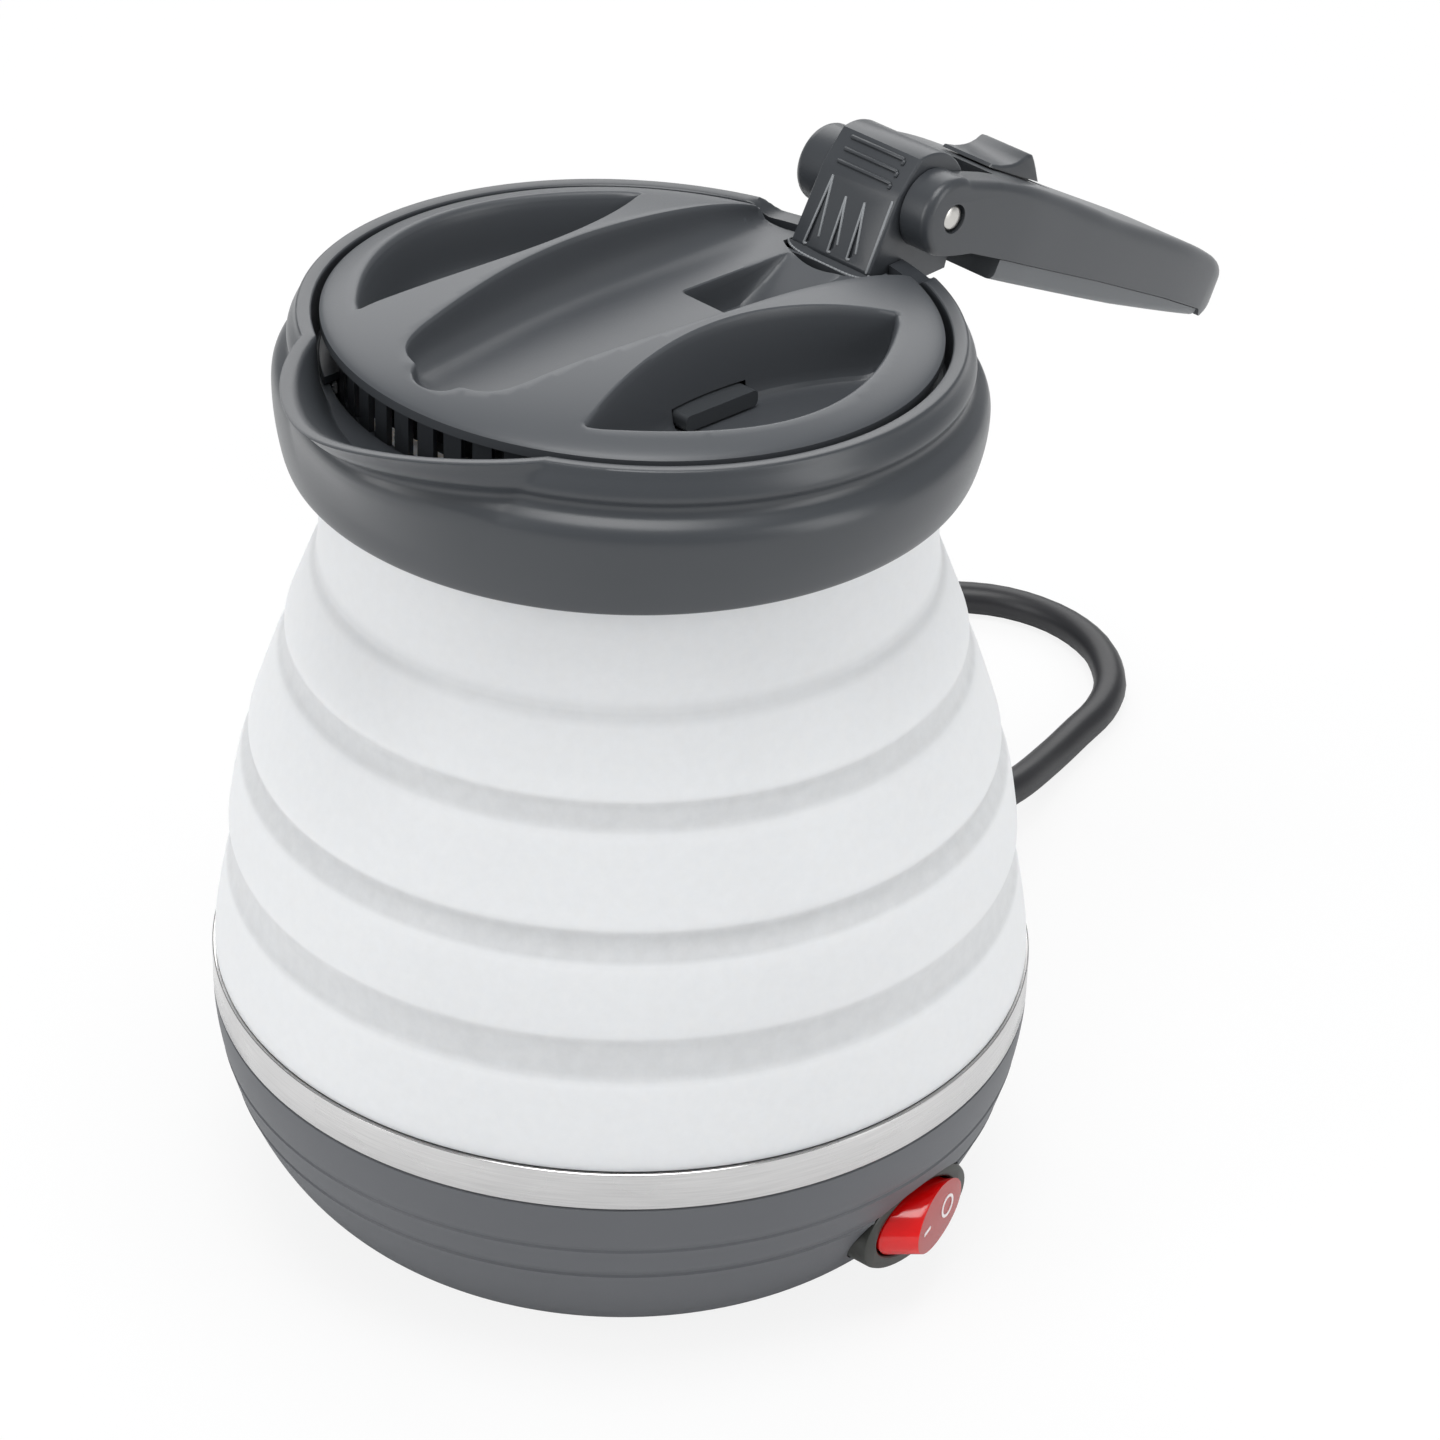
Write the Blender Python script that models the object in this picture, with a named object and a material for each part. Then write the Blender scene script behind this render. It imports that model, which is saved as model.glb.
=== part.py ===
"""Collapsible travel kettle with a folding silicone wall, pinch-release lid and folding handle.

Metres, +Z up. The origin is the centre of the flat pad under the bottom cover.
+X points to the hinge and the handle, -X to the spout.
"""
import math

import bmesh
import bpy
from mathutils import Matrix, Vector

# Shared clearances and counts
GAP = 0.0003
CUT_OVERRUN = 0.004
MERGE = 0.000001
TURN_STEPS = 36
COLLAR_STEPS = 48
SMALL_STEPS = 18
SHARP_ANGLE = math.radians(35)

# Bowl of the base and the band
BASE_RADIUS = 0.074
BASE_HEIGHT = 0.0385
BASE_TUCK = 0.0214
BASE_WALL = 0.0026
BASE_LIP_Z = 0.0005
BASE_LIP_HEIGHT = 0.002
BOWL_POWER = 1.7
BOWL_ROWS = 4
BAND_HEIGHT = 0.008
BAND_THICKNESS = 0.0007
NECK_WALL = 0.0024
SHELF_WIDTH = 0.0066
SHELF_THICKNESS = 0.0022

# Bottom cover, its feet and screws
COVER_Z = 0.0008
COVER_THICKNESS = 0.0024
PAD_SPACE = 0.0065
FOOT_RADIUS = 0.0055
FOOT_PROUD = 0.0015
FOOT_DEPTH = 0.0012
FOOT_EDGE = 0.012
FOOT_COUNT = 4
SCREW_EDGE = 0.0045
SCREW_COUNT = 3
SCREW_RADIUS = 0.0014
SCREW_LENGTH = 0.0095
SCREW_HEAD_RADIUS = 0.003
SCREW_HEAD_HEIGHT = 0.0012
BOSS_RADIUS = 0.0036
BOSS_HEIGHT = 0.013
BOSS_RIB = 0.002

# Heating dish, element, thermostat and fuse
DISH_WALL = 0.0008
DISH_FLOOR = 0.001
BEAD_THICKNESS = 0.0011
BEAD_DEPTH = 0.008
ELEMENT_EDGE = 0.0289
ELEMENT_RADIUS = 0.0033
ELEMENT_SPREAD = math.radians(300)
ELEMENT_POINTS = 20
THERMOSTAT_RADIUS = 0.012
THERMOSTAT_HEIGHT = 0.0065
THERMOSTAT_STEP = 0.002
FUSE_RADIUS = 0.0021
FUSE_LENGTH = 0.013
FUSE_SPACE = 0.0035

# Silicone wall
WALL_STEP = 0.0006
WALL_HEIGHT = 0.1012
WALL_THICKNESS = 0.002
WALL_CUFF = 0.0055
CUFF_STEP = 0.0009
WALL_SHARES = (
    (1.0, 0.0), (0.989, 0.0345), (0.936, 0.0936), (0.884, 0.1626), (0.845, 0.187),
    (0.815, 0.2266), (0.841, 0.2463), (0.822, 0.2906), (0.787, 0.3399), (0.746, 0.3793),
    (0.693, 0.3941), (0.64, 0.4217), (0.661, 0.4335), (0.584, 0.4877), (0.495, 0.5468),
    (0.423, 0.5961), (0.382, 0.6079), (0.331, 0.6335), (0.349, 0.6453), (0.234, 0.7044),
    (0.12, 0.7714), (0.09, 0.7813), (0.077, 0.7931), (0.031, 0.8818), (0.0, 1.0),
)
WALL_INNER_STRIDE = 3

# Collar, its tilt and its spout
COLLAR_RADIUS = 0.061
COLLAR_HEIGHT = 0.0228
TILT = 0.052
TILT_RISE = 0.012
RIM_WIDTH = 0.007
LEDGE_DROP = 0.0096
LEDGE_THICKNESS = 0.0024
LEDGE_WIDTH = 0.0023
COLLAR_WALL = 0.0026
COLLAR_OUTER_SHARES = (
    (0.085, 1.006), (0.312, 1.009), (0.468, 0.97), (0.556, 0.885), (0.617, 0.805),
    (0.547, 0.752), (0.529, 0.71), (0.625, 0.66), (0.826, 0.605), (0.956, 0.535),
    (1.0, 0.44), (0.974, 0.29), (0.887, 0.13), (0.773, 0.0), (0.678, -0.018),
)
SPOUT_REACH = 0.0157
SPOUT_HALF_ANGLE = math.radians(31)
SPOUT_START = 0.004
SPOUT_POWER = 2.0
SPOUT_ROUND_SHARE = 0.2

# Ring that traps the top of the silicone wall
CLAMP_WALL = 0.0021
CLAMP_DROP = 0.0015
CLAMP_FLANGE = 0.0017
CLAMP_FLANGE_REACH = 0.004

# Lid cover: dome, finger recesses, handle channel and pocket
LID_PLAY = 0.0013
LID_EDGE = 0.0018
DOME_HEIGHT = 0.008
DOME_POWER = 0.75
DOME_ROWS = 6
LID_SHEET = 0.0017
LID_RIM_WALL = 0.0018
LID_DEPTH = 0.0118
RECESS_DEPTH = 0.0088
RECESS_TIP_SHARES = ((-0.7059, 0.5161), (0.6034, 0.5844))
RECESS_SIDE_SHARES = (0.3852, 0.8691)
RECESS_POINTS = 9
RECESS_FLOOR_SHARE = 0.84
CHANNEL_FLOOR_DROP = 0.003
CHANNEL_END_SHARES = (-0.8956, -0.7685)
CHANNEL_PLAY = 0.0022
CHANNEL_SHARES = (
    (0.0, 0.22), (0.35, 0.62), (0.46, 0.76), (0.58, 0.87), (0.7, 0.95), (0.86, 1.0),
)
CHANNEL_LEVEL_SHARES = ((0.0, 0.68), (0.15, 0.92), (0.4, 0.975), (1.0, 1.0))
POCKET_PLAY = 0.0018
POCKET_FRONT_PLAY = 0.008
POCKET_REAR_PLAY = 0.0008
NOTCH_PLAY = 0.0009
FLOW_SHARES = (-0.7495, 0.5123)

# Lid skirt, seal and latch plate
SKIRT_WALL = 0.0011
SKIRT_DEPTH = 0.0126
SKIRT_PLAY = 0.001
SKIRT_FLANGE = 0.0014
SLOT_COUNT = 9
SLOT_PITCH = math.radians(6.6)
SLOT_WIDTH = 0.0022
SLOT_HEIGHT = 0.0042
SEAL_HEIGHT = 0.0018
SEAL_WIDTH = 0.0009
LID_BASE_INSET = 0.0016
LID_BASE_THICKNESS = 0.0016
LID_COLUMN_RADIUS = 0.0035
LATCH_SPACE = 0.002
LATCH_SHEET = 0.0014
LATCH_TRAVEL = 0.0025
TAB_LENGTH = 0.017
TAB_HEIGHT = 0.003
TAB_CENTRE_X = -0.0035
TAB_TOP_DROP = 0.0054
TAB_REACH = 0.0045
TAB_WEB = 0.0018
LATCH_HALF_WIDTH = 0.0075

# Hinge block and its pin
PIN_OFFSET = 0.0085
PIN_RISE = 0.0033
PIN_RADIUS = 0.0019
PIN_HEAD_RADIUS = 0.0024
PIN_HEAD_HEIGHT = 0.0009
BLOCK_HALF_WIDTH = 0.0094
BARREL_RADIUS = 0.0099
BARREL_POINTS = 12
POST_DROP = 0.0138
BLOCK_SHARES = (
    (0.56, -1.0), (-0.86, -1.0), (-1.06, -0.84), (-1.33, -0.78), (-1.455, -0.61), (-0.71, 0.32),
)
BLOCK_BEVEL = 0.0008
RIB_COUNT = 3
RIB_LENGTH = 0.0128
RIB_WIDTH = 0.0007
RIB_PROUD = 0.0005
GROOVE_COUNT = 3
GROOVE_DEPTH = 0.0006
GROOVE_BASE = 0.0022
GROOVE_PITCH = 0.0046

# Handle, in its own frame: x along the grip, z square to it, origin on the pin
HANDLE_SLOPE = math.radians(27)
EAR_RADIUS = 0.0073
EAR_SPARE = 0.0006
HANDLE_LENGTH = 0.1025
HANDLE_HALF_WIDTH = 0.016
HANDLE_DEPTH = 0.0086
HANDLE_WALL = 0.0024
WEB_PLAY = 0.0003
EAR_POINTS = 9
HANDLE_TOP_SHARES = (
    (0.1, 0.95), (0.2, 1.0), (0.33, 0.93), (0.44, 0.84), (0.556, 0.72), (0.79, 0.57),
    (0.907, 0.42), (0.976, 0.2), (0.998, -0.12),
)
HANDLE_UNDER_SHARES = ((1.0, -0.5), (0.982, -0.8), (0.08, -0.8))
HANDLE_PLAN_SHARES = (
    (0.2, 1.0), (0.49, 0.89), (0.78, 0.7), (0.9, 0.585), (0.965, 0.43), (1.0, 0.18),
)
CAVITY_SIDE_SHARES = (
    (0.0, -1.3), (0.0, 0.7), (0.31, 0.56), (0.605, 0.35), (0.877, 0.14), (0.907, -0.12), (0.907, -1.3),
)
HANDLE_BEVEL = 0.0014
STRIP_THICKNESS = 0.0022
STRIP_PLAY = 0.0005
STRIP_LENGTH_SHARE = 0.965
STRIP_TOP_SHARE = 0.95
STRIP_UNDER_SHARE = 0.74

# Lock slider on the handle
SLIDER_PLAY = 0.0015
SLIDER_LENGTH = 0.0155
SLIDER_HALF_WIDTH = 0.006
SLIDER_HEIGHT = 0.004
SLIDER_SEAT = 0.00895
SLIDER_TRAVEL = 0.007
SLIDER_STEM_HALF_WIDTH = 0.0037
SLIDER_STEM_INSET = 0.0025
SLIDER_FOOT_HALF_WIDTH = 0.0056
SLIDER_FOOT_TOP = 0.0045
SLIDER_FOOT_THICKNESS = 0.0013
SLIDER_SHARES = (
    (0.0, 0.0), (0.02, 0.16), (0.2, 0.2), (0.4, 0.38), (0.56, 0.72), (0.63, 1.0), (0.71, 1.0),
    (1.0, -0.1),
)

# Rocker switch
SWITCH_TURN = math.radians(4.5)
SWITCH_PROUD = 0.0015
SWITCH_Z = 0.0165
BEZEL_HALF_LENGTH = 0.0145
BEZEL_HALF_HEIGHT = 0.0085
BEZEL_FRONT_DEPTH = 0.010
BEZEL_BACK_DEPTH = 0.008
BEZEL_BACK_INSET = 0.0015
BEZEL_RIM = 0.0034
ROCKER_PIVOT_DEPTH = 0.003
ROCKER_RADIUS = 0.0107
ROCKER_CREST = 0.0042
ROCKER_BODY_DEPTH = 0.0033
ROCKER_TOP_ANGLE = math.radians(30)
ROCKER_REST_TURN = math.radians(10)
ROCKER_WELL_SPARE = 0.0032
OVAL_STEPS = 28

# Cord gland, cord and plug
CORD_RADIUS = 0.0035
GLAND_TURN = math.radians(9.5)
GLAND_Z = 0.0105
GLAND_SLEEVE_LENGTH = 0.0103
GLAND_PLAY = 0.0004
GLAND_LENGTH = 0.0285
GLAND_SLEEVE_RADIUS = 0.0056
GLAND_FLANGE_RADIUS = 0.0068
GLAND_SHARES = (
    (1.0, 0.0), (1.0, 0.09), (0.87, 0.12), (0.86, 0.24), (0.76, 0.26), (0.76, 0.32), (0.81, 0.34),
    (0.79, 0.46), (0.7, 0.48), (0.7, 0.54), (0.75, 0.56), (0.73, 0.68), (0.64, 0.7), (0.64, 0.76),
    (0.69, 0.78), (0.66, 1.0),
)
CORD_ROUTE = (
    (0.1155, 0.0195, 0.0092), (0.1355, 0.0225, 0.0062), (0.152, 0.0274, 0.0034), (0.165, 0.0312, 0.0023),
    (0.1761, 0.0342, 0.002), (0.1858, 0.0398, 0.002), (0.1942, 0.0508, 0.002), (0.1972, 0.0643, 0.002),
    (0.1942, 0.0778, 0.002), (0.1858, 0.0888, 0.002), (0.1715, 0.1008, 0.002), (0.1555, 0.1142, 0.002),
)
CORD_POINT_SPACING = 0.0145
COIL_X = 0.102
COIL_Y = 0.103
COIL_RADIUS = 0.0428
COIL_PITCH = 0.0077
COIL_RISE = 0.0085
COIL_START = math.radians(50)
COIL_TURNS = 3.875
COIL_CLIMB = 0.5
COIL_LIFT_TURNS = 0.2
COIL_LOOP_POINTS = 24
PLUG_BODY_RADIUS = 0.0185
PLUG_BODY_LENGTH = 0.031
PLUG_RELIEF_LENGTH = 0.040
PLUG_ROUND = 0.003
PLUG_PIN_RADIUS = 0.0024
PLUG_PIN_LENGTH = 0.019
PLUG_PIN_SEAT = 0.006
PLUG_PIN_SPACING = 0.019
PLUG_SHARES = (
    (0.2, 0.0), (0.21, 0.2), (0.26, 0.5), (0.33, 0.8), (0.46, 1.0),
)

# Levels and radii worked out from the sizes above
BAND_TOP = BASE_HEIGHT + BAND_HEIGHT
BAND_INNER_RADIUS = BASE_RADIUS - BAND_THICKNESS
NECK_RADIUS = BAND_INNER_RADIUS - GAP
NECK_INNER_RADIUS = NECK_RADIUS - NECK_WALL
SHELF_INNER_RADIUS = NECK_INNER_RADIUS - SHELF_WIDTH
BEAD_OUTER_RADIUS = NECK_INNER_RADIUS - GAP
DISH_RADIUS = BEAD_OUTER_RADIUS - BEAD_THICKNESS - GAP
SHELF_TOP = BASE_HEIGHT - SHELF_THICKNESS - GAP
DISH_UNDER = SHELF_TOP + GAP
ELEMENT_CIRCLE = DISH_RADIUS - ELEMENT_EDGE
FUSE_OFFSET = THERMOSTAT_RADIUS + FUSE_SPACE + FUSE_RADIUS
BASE_FOOT_RADIUS = BASE_RADIUS - BASE_TUCK
COVER_RADIUS = BASE_FOOT_RADIUS - BASE_WALL
SCREW_CIRCLE = COVER_RADIUS - SCREW_EDGE
FOOT_CIRCLE = COVER_RADIUS - FOOT_EDGE
PAD_RADIUS = FOOT_CIRCLE - FOOT_RADIUS - PAD_SPACE
STANDING_Z = -FOOT_PROUD
WALL_FOOT_RADIUS = BASE_RADIUS - WALL_STEP
COLLAR_Z = BAND_TOP + GAP + WALL_HEIGHT
RIM_Z = COLLAR_Z + COLLAR_HEIGHT
RIM_INNER_RADIUS = COLLAR_RADIUS - RIM_WIDTH
LEDGE_Z = RIM_Z - LEDGE_DROP
LEDGE_BORE_RADIUS = RIM_INNER_RADIUS - LEDGE_WIDTH
CUFF_RADIUS = LEDGE_BORE_RADIUS + CUFF_STEP
CUFF_TOP = COLLAR_Z + WALL_CUFF
SKIRT_RADIUS = LEDGE_BORE_RADIUS - SEAL_WIDTH - GAP * 2
SKIRT_INNER_RADIUS = SKIRT_RADIUS - SKIRT_WALL
LATCH_TOP = RIM_Z - SKIRT_DEPTH - GAP
LID_RADIUS = RIM_INNER_RADIUS - LID_PLAY
LID_RIM_OUTER = SKIRT_INNER_RADIUS - GAP
LID_BASE_RADIUS = LID_RIM_OUTER - LID_BASE_INSET
PIN_X = RIM_INNER_RADIUS + PIN_OFFSET
PIN_Z = RIM_Z + PIN_RISE
NOSE_REACH = -BARREL_RADIUS * BLOCK_SHARES[4][0]
NOSE_DROP = -POST_DROP * BLOCK_SHARES[4][1]
NOTCH_X = PIN_X - NOSE_REACH - NOTCH_PLAY
WEB_RADIUS = math.hypot(NOSE_REACH, NOSE_DROP) + WEB_PLAY
SLIDER_START = WEB_RADIUS + SLIDER_PLAY
STRIP_START = WEB_RADIUS + STRIP_PLAY
CHANNEL_HALF_WIDTH = HANDLE_HALF_WIDTH + CHANNEL_PLAY
POCKET_HALF_WIDTH = SLIDER_HALF_WIDTH + POCKET_PLAY
POCKET_FRONT_X = PIN_X - SLIDER_START - SLIDER_LENGTH - SLIDER_TRAVEL - POCKET_FRONT_PLAY
POCKET_REAR_X = PIN_X - SLIDER_START + POCKET_REAR_PLAY
POCKET_FLOOR_DROP = SLIDER_SEAT + SLIDER_HEIGHT - PIN_RISE
(RECESS_FRONT_X, RECESS_FRONT_Y), (RECESS_REAR_X, RECESS_REAR_Y) = [
    (LID_RADIUS * along, LID_RADIUS * across) for along, across in RECESS_TIP_SHARES]
RECESS_INNER_Y, RECESS_OUTER_Y = [LID_RADIUS * across for across in RECESS_SIDE_SHARES]
CHANNEL_TIP_X, CHANNEL_KNEE_X = [LID_RADIUS * along for along in CHANNEL_END_SHARES]
FLOW_CUT_X, FLOW_CUT_HALF_WIDTH = [LID_RADIUS * share for share in FLOW_SHARES]


def clear_scene():
    for item in list(bpy.data.objects):
        bpy.data.objects.remove(item)


def make_material(name, colour, roughness, metallic=0.0, transmission=0.0):
    material = bpy.data.materials.new(name)
    material.use_nodes = True
    shader = material.node_tree.nodes["Principled BSDF"]
    shader.inputs["Base Color"].default_value = (*colour, 1.0)
    shader.inputs["Roughness"].default_value = roughness
    shader.inputs["Metallic"].default_value = metallic
    shader.inputs["Transmission Weight"].default_value = transmission
    material.diffuse_color = (*colour, 1.0)
    return material


def add_object(name, shape, material=None):
    bmesh.ops.recalc_face_normals(shape, faces=shape.faces)
    mesh = bpy.data.meshes.new(name)
    shape.to_mesh(mesh)
    shape.free()
    item = bpy.data.objects.new(name, mesh)
    bpy.context.collection.objects.link(item)
    if material:
        mesh.materials.append(material)
    return item


def turned(name, outline, steps=TURN_STEPS, material=None):
    """Turns an outline of (radius, height) points about Z. One that starts on the axis ends on it."""
    shape = bmesh.new()
    points = [shape.verts.new((radius, 0.0, height)) for radius, height in outline]
    lines = [shape.edges.new(pair) for pair in zip(points, points[1:])]
    if outline[0][0] > MERGE:
        lines.append(shape.edges.new((points[-1], points[0])))
    bmesh.ops.spin(shape, geom=points + lines, cent=(0.0, 0.0, 0.0), axis=(0.0, 0.0, 1.0),
                   angle=math.tau, steps=steps, use_merge=True)
    bmesh.ops.remove_doubles(shape, verts=shape.verts, dist=MERGE)
    return add_object(name, shape, material)


def prism(name, corners, reach, material=None):
    """Extrudes a flat outline of 3-D corners along the vector reach."""
    shape = bmesh.new()
    face = shape.faces.new([shape.verts.new(corner) for corner in corners])
    grown = bmesh.ops.extrude_face_region(shape, geom=[face])["geom"]
    moved = [piece for piece in grown if isinstance(piece, bmesh.types.BMVert)]
    bmesh.ops.translate(shape, verts=moved, vec=reach)
    return add_object(name, shape, material)


def loft(name, rings, material=None):
    """Joins rings of equal point count with side faces and closes both ends."""
    shape = bmesh.new()
    rows = [[shape.verts.new(point) for point in ring] for ring in rings]
    for low, high in zip(rows, rows[1:]):
        for index in range(len(low)):
            after = (index + 1) % len(low)
            shape.faces.new((low[index], low[after], high[after]))
            shape.faces.new((low[index], high[after], high[index]))
    shape.faces.new(rows[0][::-1])
    shape.faces.new(rows[-1])
    return add_object(name, shape, material)


def box(name, low, high, material=None):
    corners = [(low[0], low[1], low[2]), (high[0], low[1], low[2]),
               (high[0], high[1], low[2]), (low[0], high[1], low[2])]
    return prism(name, corners, (0.0, 0.0, high[2] - low[2]), material)


def cylinder(name, centre, radius, low, high, steps=SMALL_STEPS, material=None):
    corners = [(centre[0] + radius * math.cos(math.tau * step / steps),
                centre[1] + radius * math.sin(math.tau * step / steps), low) for step in range(steps)]
    return prism(name, corners, (0.0, 0.0, high - low), material)


def place(item, matrix):
    item.data.transform(matrix)
    return item


def combine(target, other, operation):
    """Applies one exact Boolean to the target and removes the other object."""
    change = target.modifiers.new(operation, "BOOLEAN")
    change.operation = operation
    change.solver = "EXACT"
    change.object = other
    other.hide_render = True
    other.display_type = "WIRE"
    keep_evaluated(target)
    bpy.data.objects.remove(other)
    return target


def keep_evaluated(item):
    bpy.context.view_layer.update()
    graph = bpy.context.evaluated_depsgraph_get()
    mesh = bpy.data.meshes.new_from_object(item.evaluated_get(graph))
    item.modifiers.clear()
    item.data = mesh


def cut(target, other):
    return combine(target, other, "DIFFERENCE")


def join(target, other):
    return combine(target, other, "UNION")


def keep_common(target, other):
    return combine(target, other, "INTERSECT")


def bevel(item, width, limit=math.radians(40)):
    change = item.modifiers.new("edge", "BEVEL")
    change.width = width
    change.segments = 2
    change.limit_method = "ANGLE"
    change.angle_limit = limit
    keep_evaluated(item)
    return item


def smooth(item):
    item.data.shade_smooth()
    item.data.set_sharp_from_angle(angle=SHARP_ANGLE)
    return item


def tilt_top(item):
    """Leans the top levels with the rim, which is higher at the spout than at the hinge."""
    for vertex in item.data.vertices:
        rise = min(max((vertex.co.z - COLLAR_Z) / TILT_RISE, 0.0), 1.0)
        vertex.co.z -= TILT * vertex.co.x * rise
    return item


def pivot(name, point, turn=0.0, axis="Y"):
    empty = bpy.data.objects.new(name, None)
    bpy.context.collection.objects.link(empty)
    empty.location = point
    empty.rotation_euler["XYZ".index(axis)] = turn
    return empty


def hang(item, empty, shift=(0.0, 0.0, 0.0)):
    """Parents a piece to a joint's empty and moves its mesh so that its origin is on the joint."""
    place(item, Matrix.Translation(-Vector(shift)))
    item.parent = empty
    return item


def ring_point(radius, angle):
    return (radius * math.cos(angle), radius * math.sin(angle))


def oval(half_length, half_height, steps=OVAL_STEPS):
    return [(half_length * math.cos(math.tau * step / steps),
             half_height * math.sin(math.tau * step / steps)) for step in range(steps)]


clear_scene()

DARK_GREY = make_material("dark_grey_plastic", (0.094, 0.098, 0.104), 0.42)
BASE_GREY = make_material("base_grey_plastic", (0.127, 0.129, 0.135), 0.5)
SILICONE = make_material("white_silicone", (0.75, 0.755, 0.765), 0.45, transmission=0.25)
BRUSHED = make_material("brushed_steel", (0.58, 0.57, 0.56), 0.3, 1.0)
STEEL = make_material("steel", (0.62, 0.61, 0.6), 0.25, 1.0)
RUBBER = make_material("black_rubber", (0.02, 0.02, 0.02), 0.8)
CORD_BLACK = make_material("cord_black", (0.012, 0.012, 0.013), 0.5)
BEZEL_BLACK = make_material("bezel_black", (0.032, 0.035, 0.028), 0.35)
ROCKER_RED = make_material("rocker_red", (0.62, 0.012, 0.01), 0.12, transmission=0.2)
SEAL_GREY = make_material("seal_silicone", (0.6, 0.6, 0.6), 0.5)
PHENOLIC = make_material("phenolic", (0.05, 0.03, 0.02), 0.6)
NICKEL = make_material("nickel", (0.6, 0.58, 0.52), 0.25, 1.0)


# Base shell: moulded bowl with a neck for the band, a shelf for the dish and three screw bosses
def bowl_radius(height):
    depth = (BASE_HEIGHT - height) / (BASE_HEIGHT - BASE_LIP_Z)
    swell = (1.0 - min(depth, 1.0) ** BOWL_POWER) ** (1.0 / BOWL_POWER)
    return BASE_FOOT_RADIUS + (BASE_RADIUS - BASE_FOOT_RADIUS) * swell


SWITCH_FACE = bowl_radius(SWITCH_Z) + SWITCH_PROUD
GLAND_FLANGE_START = bowl_radius(GLAND_Z + GLAND_FLANGE_RADIUS) + GLAND_PLAY
GLAND_SLEEVE_START = GLAND_FLANGE_START - GLAND_SLEEVE_LENGTH
lip_radius = COVER_RADIUS + GAP
lip_top = BASE_LIP_Z + BASE_LIP_HEIGHT
bowl_span = BASE_HEIGHT - BASE_LIP_Z
shell_outline = [(NECK_RADIUS, BAND_TOP - GAP), (NECK_RADIUS, BASE_HEIGHT)]
for row in range(BOWL_ROWS * 2 + 1):
    share = math.sin(math.pi / 2 * row / (BOWL_ROWS * 2))
    level = BASE_HEIGHT - bowl_span * share
    shell_outline.append((bowl_radius(level), level))
shell_outline += [(lip_radius, BASE_LIP_Z), (lip_radius, lip_top)]
for row in range(BOWL_ROWS):
    share = math.sin(math.pi / 2 * (BOWL_ROWS - row) / (BOWL_ROWS + 1))
    level = SHELF_TOP - SHELF_THICKNESS - (SHELF_TOP - SHELF_THICKNESS - lip_top) * share
    shell_outline.append((bowl_radius(level) - BASE_WALL, level))
shell_outline += [
    (bowl_radius(SHELF_TOP - SHELF_THICKNESS) - BASE_WALL, SHELF_TOP - SHELF_THICKNESS),
    (SHELF_INNER_RADIUS, SHELF_TOP - SHELF_THICKNESS), (SHELF_INNER_RADIUS, SHELF_TOP),
    (NECK_INNER_RADIUS, SHELF_TOP), (NECK_INNER_RADIUS, BAND_TOP - GAP),
]
base_shell = turned("base_shell", shell_outline, TURN_STEPS, BASE_GREY)

cover_top = COVER_Z + COVER_THICKNESS
boss_foot = cover_top + GAP
for index in range(SCREW_COUNT):
    angle = math.tau * (index + 0.25 * SCREW_COUNT) / SCREW_COUNT
    centre = ring_point(SCREW_CIRCLE, angle)
    post = cylinder("boss", centre, BOSS_RADIUS, boss_foot, boss_foot + BOSS_HEIGHT)
    wall_reach = bowl_radius(boss_foot + BOSS_HEIGHT / 2) - BASE_WALL / 2
    rib = box("rib", (SCREW_CIRCLE, -BOSS_RIB / 2, boss_foot + BOSS_HEIGHT / 2),
              (wall_reach, BOSS_RIB / 2, boss_foot + BOSS_HEIGHT - BOSS_RIB))
    place(rib, Matrix.Rotation(angle, 4, "Z"))
    join(post, rib)
    join(base_shell, post)
    cut(base_shell, cylinder("pilot", centre, SCREW_RADIUS + GAP, boss_foot - CUT_OVERRUN,
                             boss_foot + SCREW_LENGTH, 12))

switch_matrix = Matrix.Rotation(SWITCH_TURN, 4, "Z")
switch_hole = prism("switch_hole",
                    [(x, -SWITCH_FACE - CUT_OVERRUN, SWITCH_Z + z) for x, z in
                     oval(BEZEL_HALF_LENGTH + GAP, BEZEL_HALF_HEIGHT + GAP)],
                    (0.0, BEZEL_FRONT_DEPTH + BEZEL_BACK_DEPTH + CUT_OVERRUN, 0.0))
cut(base_shell, place(switch_hole, switch_matrix))

gland_matrix = Matrix.Translation((0.0, 0.0, GLAND_Z)) @ Matrix.Rotation(GLAND_TURN, 4, "Z") \
    @ Matrix.Rotation(math.pi / 2, 4, "Y")
gland_hole = cylinder("gland_hole", (0.0, 0.0), GLAND_SLEEVE_RADIUS + GAP, GLAND_SLEEVE_START - CUT_OVERRUN,
                      GLAND_FLANGE_START + CUT_OVERRUN)
cut(base_shell, place(gland_hole, gland_matrix))
smooth(base_shell)

# Bottom cover with a flat pad, foot pockets and countersunk screw holes
cover_outline = [
    (0.0, cover_top), (COVER_RADIUS, cover_top), (COVER_RADIUS, COVER_Z),
    (PAD_RADIUS + COVER_Z, COVER_Z), (PAD_RADIUS, 0.0), (0.0, 0.0),
]
base_cover = turned("base_cover", cover_outline, TURN_STEPS, BASE_GREY)
foot_top = STANDING_Z + FOOT_PROUD + FOOT_DEPTH
for index in range(FOOT_COUNT):
    centre = ring_point(FOOT_CIRCLE, math.tau * (index + 0.5) / FOOT_COUNT)
    cut(base_cover, cylinder("pocket", centre, FOOT_RADIUS + GAP, COVER_Z - CUT_OVERRUN, foot_top + GAP))
    foot = cylinder("foot_%d" % (index + 1), centre, FOOT_RADIUS, STANDING_Z, foot_top, material=RUBBER)
    smooth(foot)
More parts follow.
